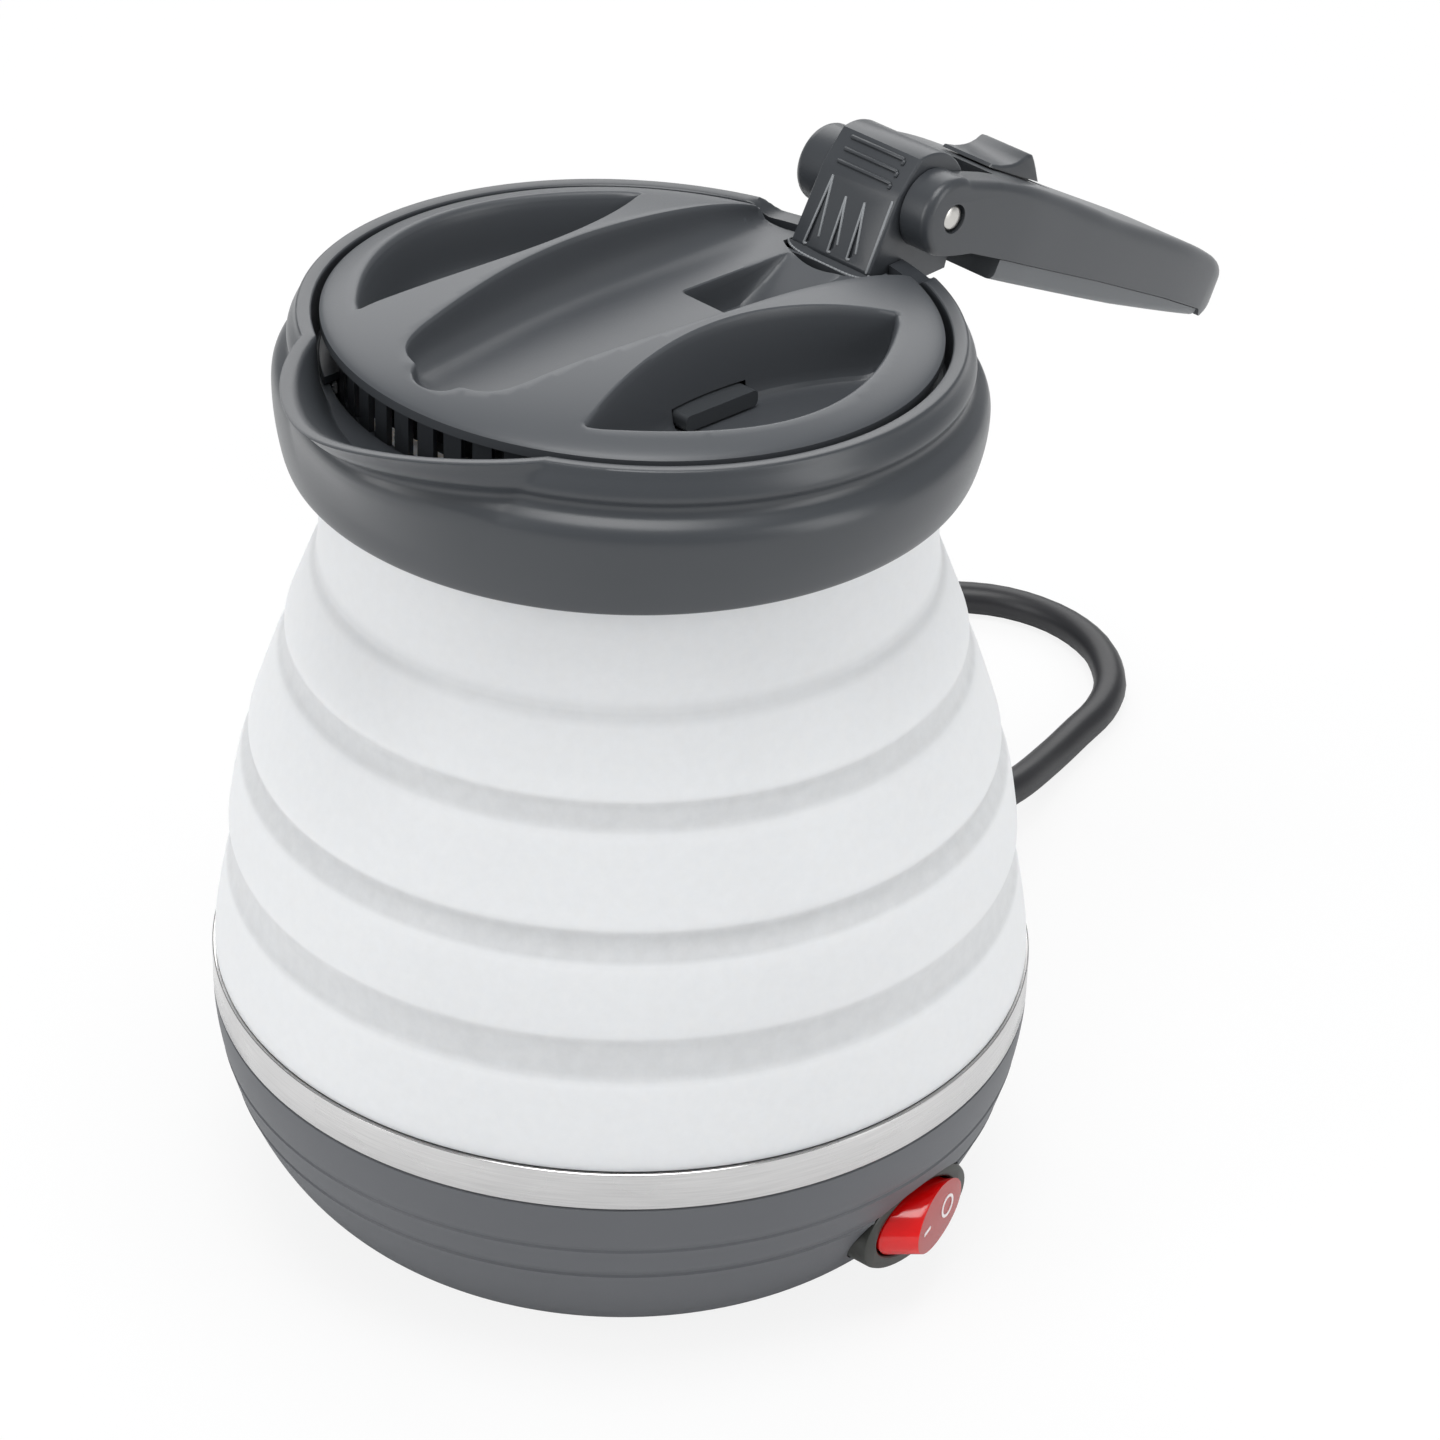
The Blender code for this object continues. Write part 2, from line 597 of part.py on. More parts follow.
head_top = COVER_Z + SCREW_HEAD_HEIGHT
for index in range(SCREW_COUNT):
    centre = ring_point(SCREW_CIRCLE, math.tau * (index + 0.25 * SCREW_COUNT) / SCREW_COUNT)
    hole = turned("hole", [
        (0.0, COVER_Z - CUT_OVERRUN), (SCREW_HEAD_RADIUS + GAP, COVER_Z - CUT_OVERRUN),
        (SCREW_HEAD_RADIUS + GAP, head_top + GAP), (SCREW_RADIUS + GAP, head_top + GAP),
        (SCREW_RADIUS + GAP, cover_top + CUT_OVERRUN), (0.0, cover_top + CUT_OVERRUN),
    ], 12)
    cut(base_cover, place(hole, Matrix.Translation((centre[0], centre[1], 0.0))))
    screw = turned("base_screw_%d" % (index + 1), [
        (0.0, COVER_Z), (SCREW_HEAD_RADIUS, COVER_Z), (SCREW_HEAD_RADIUS, head_top),
        (SCREW_RADIUS, head_top), (SCREW_RADIUS, head_top + SCREW_LENGTH), (0.0, head_top + SCREW_LENGTH),
    ], 12, STEEL)
    place(screw, Matrix.Translation((centre[0], centre[1], 0.0)))
    smooth(screw)
smooth(base_cover)

# Brushed steel band
steel_band = turned("steel_band", [
    (BAND_INNER_RADIUS, BAND_TOP - GAP), (BASE_RADIUS, BAND_TOP - GAP),
    (BASE_RADIUS, BASE_HEIGHT + GAP), (BAND_INNER_RADIUS, BASE_HEIGHT + GAP),
], TURN_STEPS, BRUSHED)
smooth(steel_band)

# Heating dish: the steel floor of the vessel with an upright rim
dish_floor = DISH_UNDER + DISH_FLOOR
heating_plate = turned("heating_plate", [
    (0.0, dish_floor), (DISH_RADIUS - DISH_WALL - DISH_FLOOR, dish_floor),
    (DISH_RADIUS - DISH_WALL, dish_floor + DISH_FLOOR), (DISH_RADIUS - DISH_WALL, BAND_TOP - GAP),
    (DISH_RADIUS, BAND_TOP - GAP), (DISH_RADIUS, DISH_UNDER), (0.0, DISH_UNDER),
], TURN_STEPS, STEEL)
smooth(heating_plate)

# Tubular element: an open ring under the dish
element_curve = bpy.data.curves.new("heating_element", "CURVE")
element_curve.dimensions = "3D"
element_curve.bevel_depth = ELEMENT_RADIUS
element_curve.bevel_resolution = 2
element_curve.render_resolution_u = 0
element_curve.use_fill_caps = True
element_line = element_curve.splines.new("POLY")
element_line.points.add(ELEMENT_POINTS - 1)
for index in range(ELEMENT_POINTS):
    angle = (math.tau - ELEMENT_SPREAD) / 2 + ELEMENT_SPREAD * index / (ELEMENT_POINTS - 1)
    x, y = ring_point(ELEMENT_CIRCLE, angle)
    element_line.points[index].co = (x, y, DISH_UNDER - GAP - ELEMENT_RADIUS, 1.0)
heating_element = bpy.data.objects.new("heating_element", element_curve)
bpy.context.collection.objects.link(heating_element)
element_curve.materials.append(STEEL)

# Disc thermostat and fuse under the dish
disc_top = DISH_UNDER - GAP
thermostat = turned("thermostat", [
    (0.0, disc_top), (THERMOSTAT_RADIUS - THERMOSTAT_STEP, disc_top),
    (THERMOSTAT_RADIUS - THERMOSTAT_STEP, disc_top - THERMOSTAT_STEP),
    (THERMOSTAT_RADIUS, disc_top - THERMOSTAT_STEP), (THERMOSTAT_RADIUS, disc_top - THERMOSTAT_HEIGHT),
    (0.0, disc_top - THERMOSTAT_HEIGHT),
], SMALL_STEPS, PHENOLIC)
smooth(thermostat)
thermal_fuse = turned("thermal_fuse", [
    (0.0, -FUSE_LENGTH / 2), (FUSE_RADIUS, -FUSE_LENGTH / 2), (FUSE_RADIUS, FUSE_LENGTH / 2),
    (0.0, FUSE_LENGTH / 2),
], 12, NICKEL)
place(thermal_fuse, Matrix.Translation((0.0, FUSE_OFFSET, DISH_UNDER - GAP - FUSE_RADIUS))
      @ Matrix.Rotation(math.pi / 2, 4, "Y"))
smooth(thermal_fuse)

# Silicone wall: five stepped rings, a bead in the neck and a cuff in the collar
wall_foot = BAND_TOP + GAP
wall_swell = WALL_FOOT_RADIUS - CUFF_RADIUS
wall_outer = [(CUFF_RADIUS + wall_swell * swell, wall_foot + WALL_HEIGHT * level) for swell, level in WALL_SHARES]
wall_inner = [(radius - WALL_THICKNESS, level) for radius, level in wall_outer[1::WALL_INNER_STRIDE]]
bead_inner_radius = BEAD_OUTER_RADIUS - BEAD_THICKNESS
wall_outline = [(CUFF_RADIUS - WALL_THICKNESS, CUFF_TOP), (CUFF_RADIUS, CUFF_TOP)]
wall_outline += wall_outer[::-1]
wall_outline += [
    (BEAD_OUTER_RADIUS, wall_foot), (BEAD_OUTER_RADIUS, BAND_TOP - BEAD_DEPTH),
    (bead_inner_radius, BAND_TOP - BEAD_DEPTH), (bead_inner_radius, wall_foot),
    (DISH_RADIUS - DISH_WALL, wall_foot), (DISH_RADIUS - DISH_WALL, wall_foot + WALL_THICKNESS),
]
wall_outline += wall_inner
silicone_wall = turned("silicone_wall", wall_outline, TURN_STEPS, SILICONE)
smooth(tilt_top(silicone_wall))

# Collar: skirt over the silicone, groove, rim, ledge for the lid and the spout
ledge_under = LEDGE_Z - LEDGE_THICKNESS
collar_outer = [(RIM_INNER_RADIUS + RIM_WIDTH * out, COLLAR_Z + COLLAR_HEIGHT * level)
                for out, level in COLLAR_OUTER_SHARES]
skirt_inner = COLLAR_RADIUS - COLLAR_WALL
skirt_foot = collar_outer[-2][0] - COLLAR_WALL / 2
collar_outline = [(RIM_INNER_RADIUS, RIM_Z)] + collar_outer
collar_outline += [
    (skirt_foot, COLLAR_Z), (skirt_inner, COLLAR_Z + COLLAR_WALL * 2), (skirt_inner, ledge_under - COLLAR_WALL / 2),
    (skirt_inner - COLLAR_WALL / 2, ledge_under), (LEDGE_BORE_RADIUS, ledge_under), (LEDGE_BORE_RADIUS, LEDGE_Z),
    (RIM_INNER_RADIUS, LEDGE_Z),
]
collar = turned("collar", collar_outline, COLLAR_STEPS, DARK_GREY)
spout_span = COLLAR_HEIGHT - SPOUT_START
for vertex in collar.data.vertices:
    radius = math.hypot(vertex.co.x, vertex.co.y)
    swing = abs(math.atan2(vertex.co.y, -vertex.co.x)) / SPOUT_HALF_ANGLE
    lift = (vertex.co.z - COLLAR_Z - SPOUT_START) / spout_span
    if radius > LEDGE_BORE_RADIUS + GAP and swing < 1.0 and lift > 0.0:
        tip = math.hypot(1.0, SPOUT_ROUND_SHARE) - SPOUT_ROUND_SHARE
        spread = 1.0 - (math.hypot(swing, SPOUT_ROUND_SHARE) - SPOUT_ROUND_SHARE) / tip
        push = SPOUT_REACH * spread * min(lift, 1.0) ** SPOUT_POWER
        vertex.co.x *= (radius + push) / radius
        vertex.co.y *= (radius + push) / radius
tilt_top(collar)
block_seat = PIN_Z - POST_DROP
collar_notch = box("collar_notch", (LEDGE_BORE_RADIUS - CUT_OVERRUN, -BLOCK_HALF_WIDTH - GAP, block_seat - GAP),
                   (COLLAR_RADIUS + CUT_OVERRUN, BLOCK_HALF_WIDTH + GAP, RIM_Z + CUT_OVERRUN))
cut(collar, collar_notch)
ear_dip = box("ear_dip", (LEDGE_BORE_RADIUS - CUT_OVERRUN, -HANDLE_HALF_WIDTH - EAR_SPARE, PIN_Z - EAR_RADIUS - EAR_SPARE),
              (COLLAR_RADIUS + CUT_OVERRUN, HANDLE_HALF_WIDTH + EAR_SPARE, RIM_Z + CUT_OVERRUN))
cut(collar, ear_dip)
smooth(collar)

# Clamp ring: sits inside the silicone cuff and reaches over it to the ledge
clamp_radius = CUFF_RADIUS - WALL_THICKNESS - GAP
clamp_flange_z = CUFF_TOP + GAP
clamp_outer = CUFF_RADIUS + CLAMP_FLANGE_REACH - CLAMP_WALL
clamp_ring = turned("clamp_ring", [
    (clamp_radius - CLAMP_WALL, clamp_flange_z + CLAMP_FLANGE), (CUFF_RADIUS - GAP, clamp_flange_z + CLAMP_FLANGE),
    (CUFF_RADIUS, ledge_under - GAP), (clamp_outer, ledge_under - GAP), (clamp_outer, clamp_flange_z),
    (clamp_radius, clamp_flange_z), (clamp_radius, COLLAR_Z - CLAMP_DROP),
    (clamp_radius - CLAMP_WALL, COLLAR_Z - CLAMP_DROP),
], TURN_STEPS, DARK_GREY)
smooth(tilt_top(clamp_ring))


# Lid cover: a thin domed moulding with cups for the fingers and a trough for the folded handle
def dome_outline(edge, base, height):
    rows = []
    for row in range(DOME_ROWS + 1):
        radius = edge * math.sin(math.pi / 2 * row / DOME_ROWS)
        rows.append((radius, base + height * (1.0 - (radius / edge) ** 2) ** DOME_POWER))
    return rows


def recess_outline(grow, side, drop_share):
    """Outline of one finger recess, grown by a wall and drawn in towards its floor."""
    middle_x = (RECESS_FRONT_X + RECESS_REAR_X) / 2
    middle_y = (RECESS_INNER_Y + RECESS_OUTER_Y) / 2
    half = (RECESS_REAR_X - RECESS_FRONT_X) / 2
    points = []
    for index in range(RECESS_POINTS * 2):
        along = math.cos(math.pi * index / RECESS_POINTS)
        across = math.sin(math.pi * index / RECESS_POINTS)
        tip_y = (RECESS_FRONT_Y + RECESS_REAR_Y) / 2 + (RECESS_REAR_Y - RECESS_FRONT_Y) / 2 * along
        bulge = RECESS_OUTER_Y if across > 0.0 else RECESS_INNER_Y
        x = along * (half + grow * 2)
        y = tip_y - middle_y + (bulge - tip_y + math.copysign(grow, across)) * abs(across) ** 2
        points.append((middle_x + x * drop_share, side * (middle_y + y * drop_share)))
    return points[::side]


def recess_block(name, grow, drop, side):
    top = RIM_Z + DOME_HEIGHT + CUT_OVERRUN
    floor = RIM_Z - drop
    low = [(x, y, floor) for x, y in recess_outline(grow, side, RECESS_FLOOR_SHARE)]
    high = [(x, y, top) for x, y in recess_outline(grow, side, 1.0)]
    return loft(name, [low, high])


def channel_ring(grow, height, width_share):
    end_x = LID_RADIUS + CUT_OVERRUN
    points = []
    for along, across in CHANNEL_SHARES:
        x = CHANNEL_TIP_X + (CHANNEL_KNEE_X - CHANNEL_TIP_X) * along if along < MERGE else \
            CHANNEL_KNEE_X + (end_x - CHANNEL_KNEE_X) * (along - CHANNEL_SHARES[1][0])
        points.append((x - grow, CHANNEL_HALF_WIDTH * across * width_share + grow, height))
    points.append((end_x, CHANNEL_HALF_WIDTH * width_share + grow, height))
    return points + [(x, -y, z) for x, y, z in points[::-1]]


def channel_block(name, grow, drop):
    floor = RIM_Z - drop
    top = RIM_Z + DOME_HEIGHT + CUT_OVERRUN
    rings = [channel_ring(grow, floor + (top - floor) * level, width) for level, width in CHANNEL_LEVEL_SHARES]
    return loft(name, rings)


lid_floor = RIM_Z - LID_DEPTH
edge_under = RIM_Z - LID_EDGE
cover_outline = dome_outline(LID_RADIUS, RIM_Z, DOME_HEIGHT)
cover_outline += [(LID_RADIUS, edge_under), (LID_RIM_OUTER, edge_under), (LID_RIM_OUTER, lid_floor), (0.0, lid_floor)]
lid_cover = turned("lid_cover", cover_outline, TURN_STEPS, DARK_GREY)
hollow_radius = LID_RIM_OUTER - LID_RIM_WALL
hollow_outline = dome_outline(hollow_radius, RIM_Z - LID_SHEET, DOME_HEIGHT - LID_SHEET / 2)
hollow_outline += [(hollow_radius, lid_floor - CUT_OVERRUN), (0.0, lid_floor - CUT_OVERRUN)]
hollow = turned("hollow", hollow_outline, TURN_STEPS)
place(hollow, Matrix.Rotation(math.pi / TURN_STEPS, 4, "Z"))
for side in (1, -1):
    cut(hollow, recess_block("cup", LID_SHEET, RECESS_DEPTH + LID_SHEET, side))
cut(hollow, channel_block("trough", LID_SHEET, CHANNEL_FLOOR_DROP + LID_SHEET))
cut(hollow, box("pocket_wall", (POCKET_FRONT_X - LID_SHEET, -POCKET_HALF_WIDTH - LID_SHEET,
                                RIM_Z - POCKET_FLOOR_DROP - LID_SHEET),
                (POCKET_REAR_X + LID_SHEET, POCKET_HALF_WIDTH + LID_SHEET, RIM_Z)))
cut(lid_cover, hollow)
for side in (1, -1):
    cut(lid_cover, recess_block("recess", 0.0, RECESS_DEPTH, side))
cut(lid_cover, channel_block("channel", 0.0, CHANNEL_FLOOR_DROP))
cut(lid_cover, box("pocket", (POCKET_FRONT_X, -POCKET_HALF_WIDTH, RIM_Z - POCKET_FLOOR_DROP),
                   (POCKET_REAR_X, POCKET_HALF_WIDTH, RIM_Z)))


def notch_box():
    return box("notch", (NOTCH_X, -BLOCK_HALF_WIDTH - GAP * 3, lid_floor - CUT_OVERRUN * 2),
               (LID_RADIUS + CUT_OVERRUN, BLOCK_HALF_WIDTH + GAP * 3, RIM_Z + DOME_HEIGHT + CUT_OVERRUN))


cut(lid_cover, notch_box())
cut(lid_cover, box("flow", (-LID_RIM_OUTER - GAP, -FLOW_CUT_HALF_WIDTH, lid_floor - CUT_OVERRUN),
                   (FLOW_CUT_X, FLOW_CUT_HALF_WIDTH, edge_under)))
tab_under = RIM_Z - TAB_TOP_DROP - TAB_HEIGHT
tab_top = RIM_Z - TAB_TOP_DROP
for side in (1, -1):
    near, far = sorted((side * (RECESS_INNER_Y - LID_SHEET * 3), side * (RECESS_INNER_Y + TAB_REACH)))
    cut(lid_cover, box("tab_slot", (TAB_CENTRE_X - TAB_LENGTH / 2 - GAP, near, tab_under - GAP),
                       (TAB_CENTRE_X + TAB_LENGTH / 2 + GAP, far, tab_top + GAP)))
smooth(tilt_top(lid_cover))

# Lid skirt: slotted strainer wall with a flange that rests on the ledge
skirt_top = edge_under - GAP
flange_under = LEDGE_Z + GAP
flange_radius = RIM_INNER_RADIUS - SKIRT_PLAY
lid_skirt = turned("lid_skirt", [
    (SKIRT_INNER_RADIUS, skirt_top), (SKIRT_RADIUS, skirt_top), (SKIRT_RADIUS, flange_under + SKIRT_FLANGE),
    (flange_radius, flange_under + SKIRT_FLANGE), (flange_radius, flange_under), (SKIRT_RADIUS, flange_under),
    (SKIRT_RADIUS, RIM_Z - SKIRT_DEPTH), (SKIRT_INNER_RADIUS, RIM_Z - SKIRT_DEPTH),
], TURN_STEPS, DARK_GREY)
slot_top = skirt_top - SKIRT_WALL
for index in range(SLOT_COUNT):
    angle = math.pi + SLOT_PITCH * (index - (SLOT_COUNT - 1) / 2)
    slot = box("slot", (SKIRT_INNER_RADIUS - SKIRT_WALL, -SLOT_WIDTH / 2, slot_top - SLOT_HEIGHT),
               (SKIRT_RADIUS + SKIRT_WALL, SLOT_WIDTH / 2, slot_top))
    cut(lid_skirt, place(slot, Matrix.Rotation(angle, 4, "Z")))
cut(lid_skirt, notch_box())
smooth(tilt_top(lid_skirt))

# Lid seal: silicone ring between the skirt and the ledge's bore
seal_top = LEDGE_Z - GAP
lid_seal = turned("lid_seal", [
    (SKIRT_RADIUS + GAP, seal_top), (LEDGE_BORE_RADIUS - GAP, seal_top),
    (LEDGE_BORE_RADIUS - GAP, seal_top - SEAL_HEIGHT), (SKIRT_RADIUS + GAP, seal_top - SEAL_HEIGHT),
], TURN_STEPS, SEAL_GREY)
cut(lid_seal, notch_box())
smooth(tilt_top(lid_seal))

# Lid base: the plate under the latches, cut away at the spout for the water
plate_top = LATCH_TOP - LATCH_SPACE + GAP
lid_base = cylinder("lid_base", (0.0, 0.0), LID_BASE_RADIUS, plate_top - LID_BASE_THICKNESS, plate_top, TURN_STEPS,
                    DARK_GREY)
cut(lid_base, box("flow", (-LID_RADIUS, -LID_RADIUS, plate_top - LID_BASE_THICKNESS - CUT_OVERRUN),
                  (RECESS_FRONT_X, LID_RADIUS, plate_top + CUT_OVERRUN)))
pocket_middle = ((POCKET_FRONT_X + POCKET_REAR_X) / 2, 0.0)
join(lid_base, cylinder("column", pocket_middle, LID_COLUMN_RADIUS, plate_top - LID_BASE_THICKNESS / 2,
                        RIM_Z - POCKET_FLOOR_DROP - LID_SHEET - GAP))
smooth(tilt_top(lid_base))

# Release latches: a bar in each finger recess, a web behind the wall and a tongue under the cup
latch_reach = LEDGE_BORE_RADIUS - GAP
web_inner = RECESS_INNER_Y - LID_SHEET * 2 - TAB_WEB - LATCH_TRAVEL / 2


def latch_box(name, side, half_length, near, far, low, high):
    low_y, high_y = sorted((side * near, side * far))
    return box(name, (TAB_CENTRE_X - half_length, low_y, low), (TAB_CENTRE_X + half_length, high_y, high))


for side, name in ((1, "latch_left"), (-1, "latch_right")):
    latch = latch_box(name, side, TAB_LENGTH / 2, web_inner, RECESS_INNER_Y + TAB_REACH, tab_under, tab_top)
    latch.data.materials.append(DARK_GREY)
    join(latch, latch_box("web", side, LATCH_HALF_WIDTH, web_inner, web_inner + TAB_WEB,
                          LATCH_TOP - LATCH_SHEET, tab_top - TAB_HEIGHT / 3))
    join(latch, latch_box("tongue", side, LATCH_HALF_WIDTH, web_inner, latch_reach + CUT_OVERRUN,
                          LATCH_TOP - LATCH_SHEET, LATCH_TOP))
    keep_common(latch, cylinder("bore", (0.0, 0.0), latch_reach, LATCH_TOP - CUT_OVERRUN, RIM_Z, TURN_STEPS))
    smooth(tilt_top(latch))
    latch_origin = (TAB_CENTRE_X, side * RECESS_INNER_Y, LATCH_TOP)
    hang(latch, pivot(name + "_joint", latch_origin), latch_origin)

# Hinge block: ribbed thumb block, barrel round the pin and the post on the collar
barrel_start = math.radians(102)
barrel_end = math.radians(-38)
block_side = [(BARREL_RADIUS * math.cos(barrel_start + (barrel_end - barrel_start) * index / BARREL_POINTS),
               BARREL_RADIUS * math.sin(barrel_start + (barrel_end - barrel_start) * index / BARREL_POINTS))
              for index in range(BARREL_POINTS + 1)]
block_side += [(BARREL_RADIUS * along, POST_DROP * level) for along, level in BLOCK_SHARES]
block_corners = [(PIN_X + x, -BLOCK_HALF_WIDTH, PIN_Z + z) for x, z in block_side]
hinge_block = prism("hinge_block", block_corners, (0.0, BLOCK_HALF_WIDTH * 2, 0.0), DARK_GREY)
bevel(hinge_block, BLOCK_BEVEL)
crease = Vector((PIN_X + block_side[-1][0], 0.0, PIN_Z + block_side[-1][1]))
crown = Vector((PIN_X + block_side[0][0], 0.0, PIN_Z + block_side[0][1]))
nose = Vector((PIN_X + block_side[-2][0], 0.0, PIN_Z + block_side[-2][1]))


def face_frame(low, high):
    """Frame on a slanted front face: x across, y up the face, z out of it."""
    up = (high - low).normalized()
    across = Vector((0.0, -1.0, 0.0))
    frame = Matrix((across, up, across.cross(up))).transposed().to_4x4()
    frame.translation = low
    return frame


top_frame = face_frame(crease, crown)
top_length = (crown - crease).length
for index in range(RIB_COUNT):
    level = top_length * (index + 0.5) / RIB_COUNT
    rib = box("rib", (-RIB_LENGTH / 2, level - RIB_WIDTH / 2, -RIB_PROUD), (RIB_LENGTH / 2, level + RIB_WIDTH / 2, RIB_PROUD))
    join(hinge_block, place(rib, top_frame))
front_frame = face_frame(nose, crease)
front_length = (crease - nose).length
for index in range(GROOVE_COUNT):
    middle = GROOVE_PITCH * (index - (GROOVE_COUNT - 1) / 2)
    corners = [(middle - GROOVE_BASE / 2, front_length / 6, -GROOVE_DEPTH),
               (middle + GROOVE_BASE / 2, front_length / 6, -GROOVE_DEPTH),
               (middle, front_length * 3 / 4, -GROOVE_DEPTH)]
    groove = prism("groove", corners, (0.0, 0.0, GROOVE_DEPTH + CUT_OVERRUN))
    cut(hinge_block, place(groove, front_frame))
pin_matrix = Matrix.Translation((PIN_X, 0.0, PIN_Z)) @ Matrix.Rotation(math.pi / 2, 4, "X")
cut(hinge_block, place(cylinder("pin_hole", (0.0, 0.0), PIN_RADIUS + GAP, -HANDLE_HALF_WIDTH, HANDLE_HALF_WIDTH, 20),
                       pin_matrix))
smooth(hinge_block)

# Hinge pin with a head at each end
pin_end = HANDLE_HALF_WIDTH - GAP
head_start = pin_end - PIN_HEAD_HEIGHT
hinge_pin = turned("hinge_pin", [
    (0.0, pin_end), (PIN_HEAD_RADIUS, pin_end), (PIN_HEAD_RADIUS, head_start), (PIN_RADIUS, head_start),
    (PIN_RADIUS, -head_start), (PIN_HEAD_RADIUS, -head_start), (PIN_HEAD_RADIUS, -pin_end), (0.0, -pin_end),
], 20, STEEL)
smooth(place(hinge_pin, pin_matrix))


# Handle shell: side outline and plan outline meet in one hollow grip with two ears
def handle_side(point_shares):
    return [(HANDLE_LENGTH * along, HANDLE_DEPTH * level) for along, level in point_shares]


side_points = [(EAR_RADIUS * math.cos(angle), EAR_RADIUS * math.sin(angle)) for angle in
               [math.radians(265) - math.radians(190) * index / (EAR_POINTS - 1) for index in range(EAR_POINTS)]]
side_points += handle_side(HANDLE_TOP_SHARES) + handle_side(HANDLE_UNDER_SHARES)
handle_shell = prism("handle_shell", [(x, -HANDLE_HALF_WIDTH, z) for x, z in side_points],
                     (0.0, HANDLE_HALF_WIDTH * 2, 0.0), DARK_GREY)


def handle_plan(inset, start):
    half = [(start, HANDLE_HALF_WIDTH - inset)]
    half += [((HANDLE_LENGTH - inset) * along, HANDLE_HALF_WIDTH * across - inset) for along, across in
             HANDLE_PLAN_SHARES]
    return half + [(x, -y) for x, y in half[::-1]]


plan_low = -HANDLE_DEPTH * 2
plan_height = HANDLE_DEPTH * 4
plan_block = prism("plan", [(x, y, plan_low) for x, y in handle_plan(0.0, -HANDLE_HALF_WIDTH)],
                   (0.0, 0.0, plan_height))
keep_common(handle_shell, plan_block)
bevel(handle_shell, HANDLE_BEVEL)
web_matrix = Matrix.Rotation(math.pi / 2, 4, "X")
ear_inner = BLOCK_HALF_WIDTH + GAP
cut(handle_shell, place(cylinder("web_cut", (0.0, 0.0), WEB_RADIUS, -ear_inner, ear_inner, 40), web_matrix))
cavity_start = WEB_RADIUS + HANDLE_WALL
cavity_span = HANDLE_LENGTH - cavity_start
cavity = prism("cavity", [(cavity_start + cavity_span * along, -HANDLE_HALF_WIDTH, HANDLE_DEPTH * level)
                          for along, level in CAVITY_SIDE_SHARES], (0.0, HANDLE_HALF_WIDTH * 2, 0.0))
cavity_plan = prism("cavity_plan", [(x, y, plan_low) for x, y in handle_plan(HANDLE_WALL, 0.0)],
                    (0.0, 0.0, plan_height))
keep_common(cavity, cavity_plan)
cut(handle_shell, cavity)
stem_start = SLIDER_START + SLIDER_STEM_INSET
stem_end = SLIDER_START + SLIDER_LENGTH
cut(handle_shell, box("slider_slot", (stem_start - GAP, -SLIDER_STEM_HALF_WIDTH - GAP, 0.0),
                      (stem_end + SLIDER_TRAVEL + GAP, SLIDER_STEM_HALF_WIDTH + GAP, SLIDER_SEAT + CUT_OVERRUN)))
cut(handle_shell, place(cylinder("pin_hole", (0.0, 0.0), PIN_RADIUS + GAP, -HANDLE_HALF_WIDTH - CUT_OVERRUN,
                                 HANDLE_HALF_WIDTH + CUT_OVERRUN, 20), web_matrix))
for low, high in ((-HANDLE_HALF_WIDTH - CUT_OVERRUN, -head_start + GAP), (head_start - GAP, HANDLE_HALF_WIDTH + CUT_OVERRUN)):
    cut(handle_shell, place(cylinder("head_hole", (0.0, 0.0), PIN_HEAD_RADIUS + GAP, low, high, 20), web_matrix))
smooth(handle_shell)
handle_joint = pivot("handle_joint", (PIN_X, 0.0, PIN_Z), HANDLE_SLOPE)
hang(handle_shell, handle_joint)

# Handle cover: bevelled strip that closes the grip's underside
strip_top = HANDLE_DEPTH * HANDLE_UNDER_SHARES[-1][1] - GAP
strip_end = HANDLE_LENGTH * STRIP_LENGTH_SHARE


def strip_ring(height, width_share):
    ring = []
    for x, y in handle_plan(0.0, STRIP_START):
        ring.append((STRIP_START + (min(x, strip_end) - STRIP_START) * width_share ** 0.2, y * width_share, height))
    return ring


handle_cover = loft("handle_cover", [strip_ring(strip_top - STRIP_THICKNESS, STRIP_UNDER_SHARE),
                                     strip_ring(strip_top, STRIP_TOP_SHARE)], BASE_GREY)
hang(smooth(handle_cover), handle_joint)

# Lock slider: concave thumb saddle, stem through the slot and a foot inside the grip
saddle = [(SLIDER_START + SLIDER_LENGTH * along, SLIDER_SEAT + SLIDER_HEIGHT * level) for along, level in SLIDER_SHARES]
handle_slider = prism("handle_slider", [(x, -SLIDER_HALF_WIDTH, z) for x, z in saddle],
                      (0.0, SLIDER_HALF_WIDTH * 2, 0.0), DARK_GREY)
foot_under = SLIDER_FOOT_TOP - SLIDER_FOOT_THICKNESS
join(handle_slider, box("stem", (stem_start, -SLIDER_STEM_HALF_WIDTH, foot_under),
                        (stem_end - GAP, SLIDER_STEM_HALF_WIDTH, SLIDER_SEAT)))
join(handle_slider, box("foot", (stem_start - GAP, -SLIDER_FOOT_HALF_WIDTH, foot_under),
                        (stem_end - GAP * 2, SLIDER_FOOT_HALF_WIDTH, SLIDER_FOOT_TOP)))
slider_joint = pivot("slider_joint", (SLIDER_START, 0.0, SLIDER_SEAT))
slider_joint.parent = handle_joint
hang(smooth(handle_slider), slider_joint, (SLIDER_START, 0.0, SLIDER_SEAT))

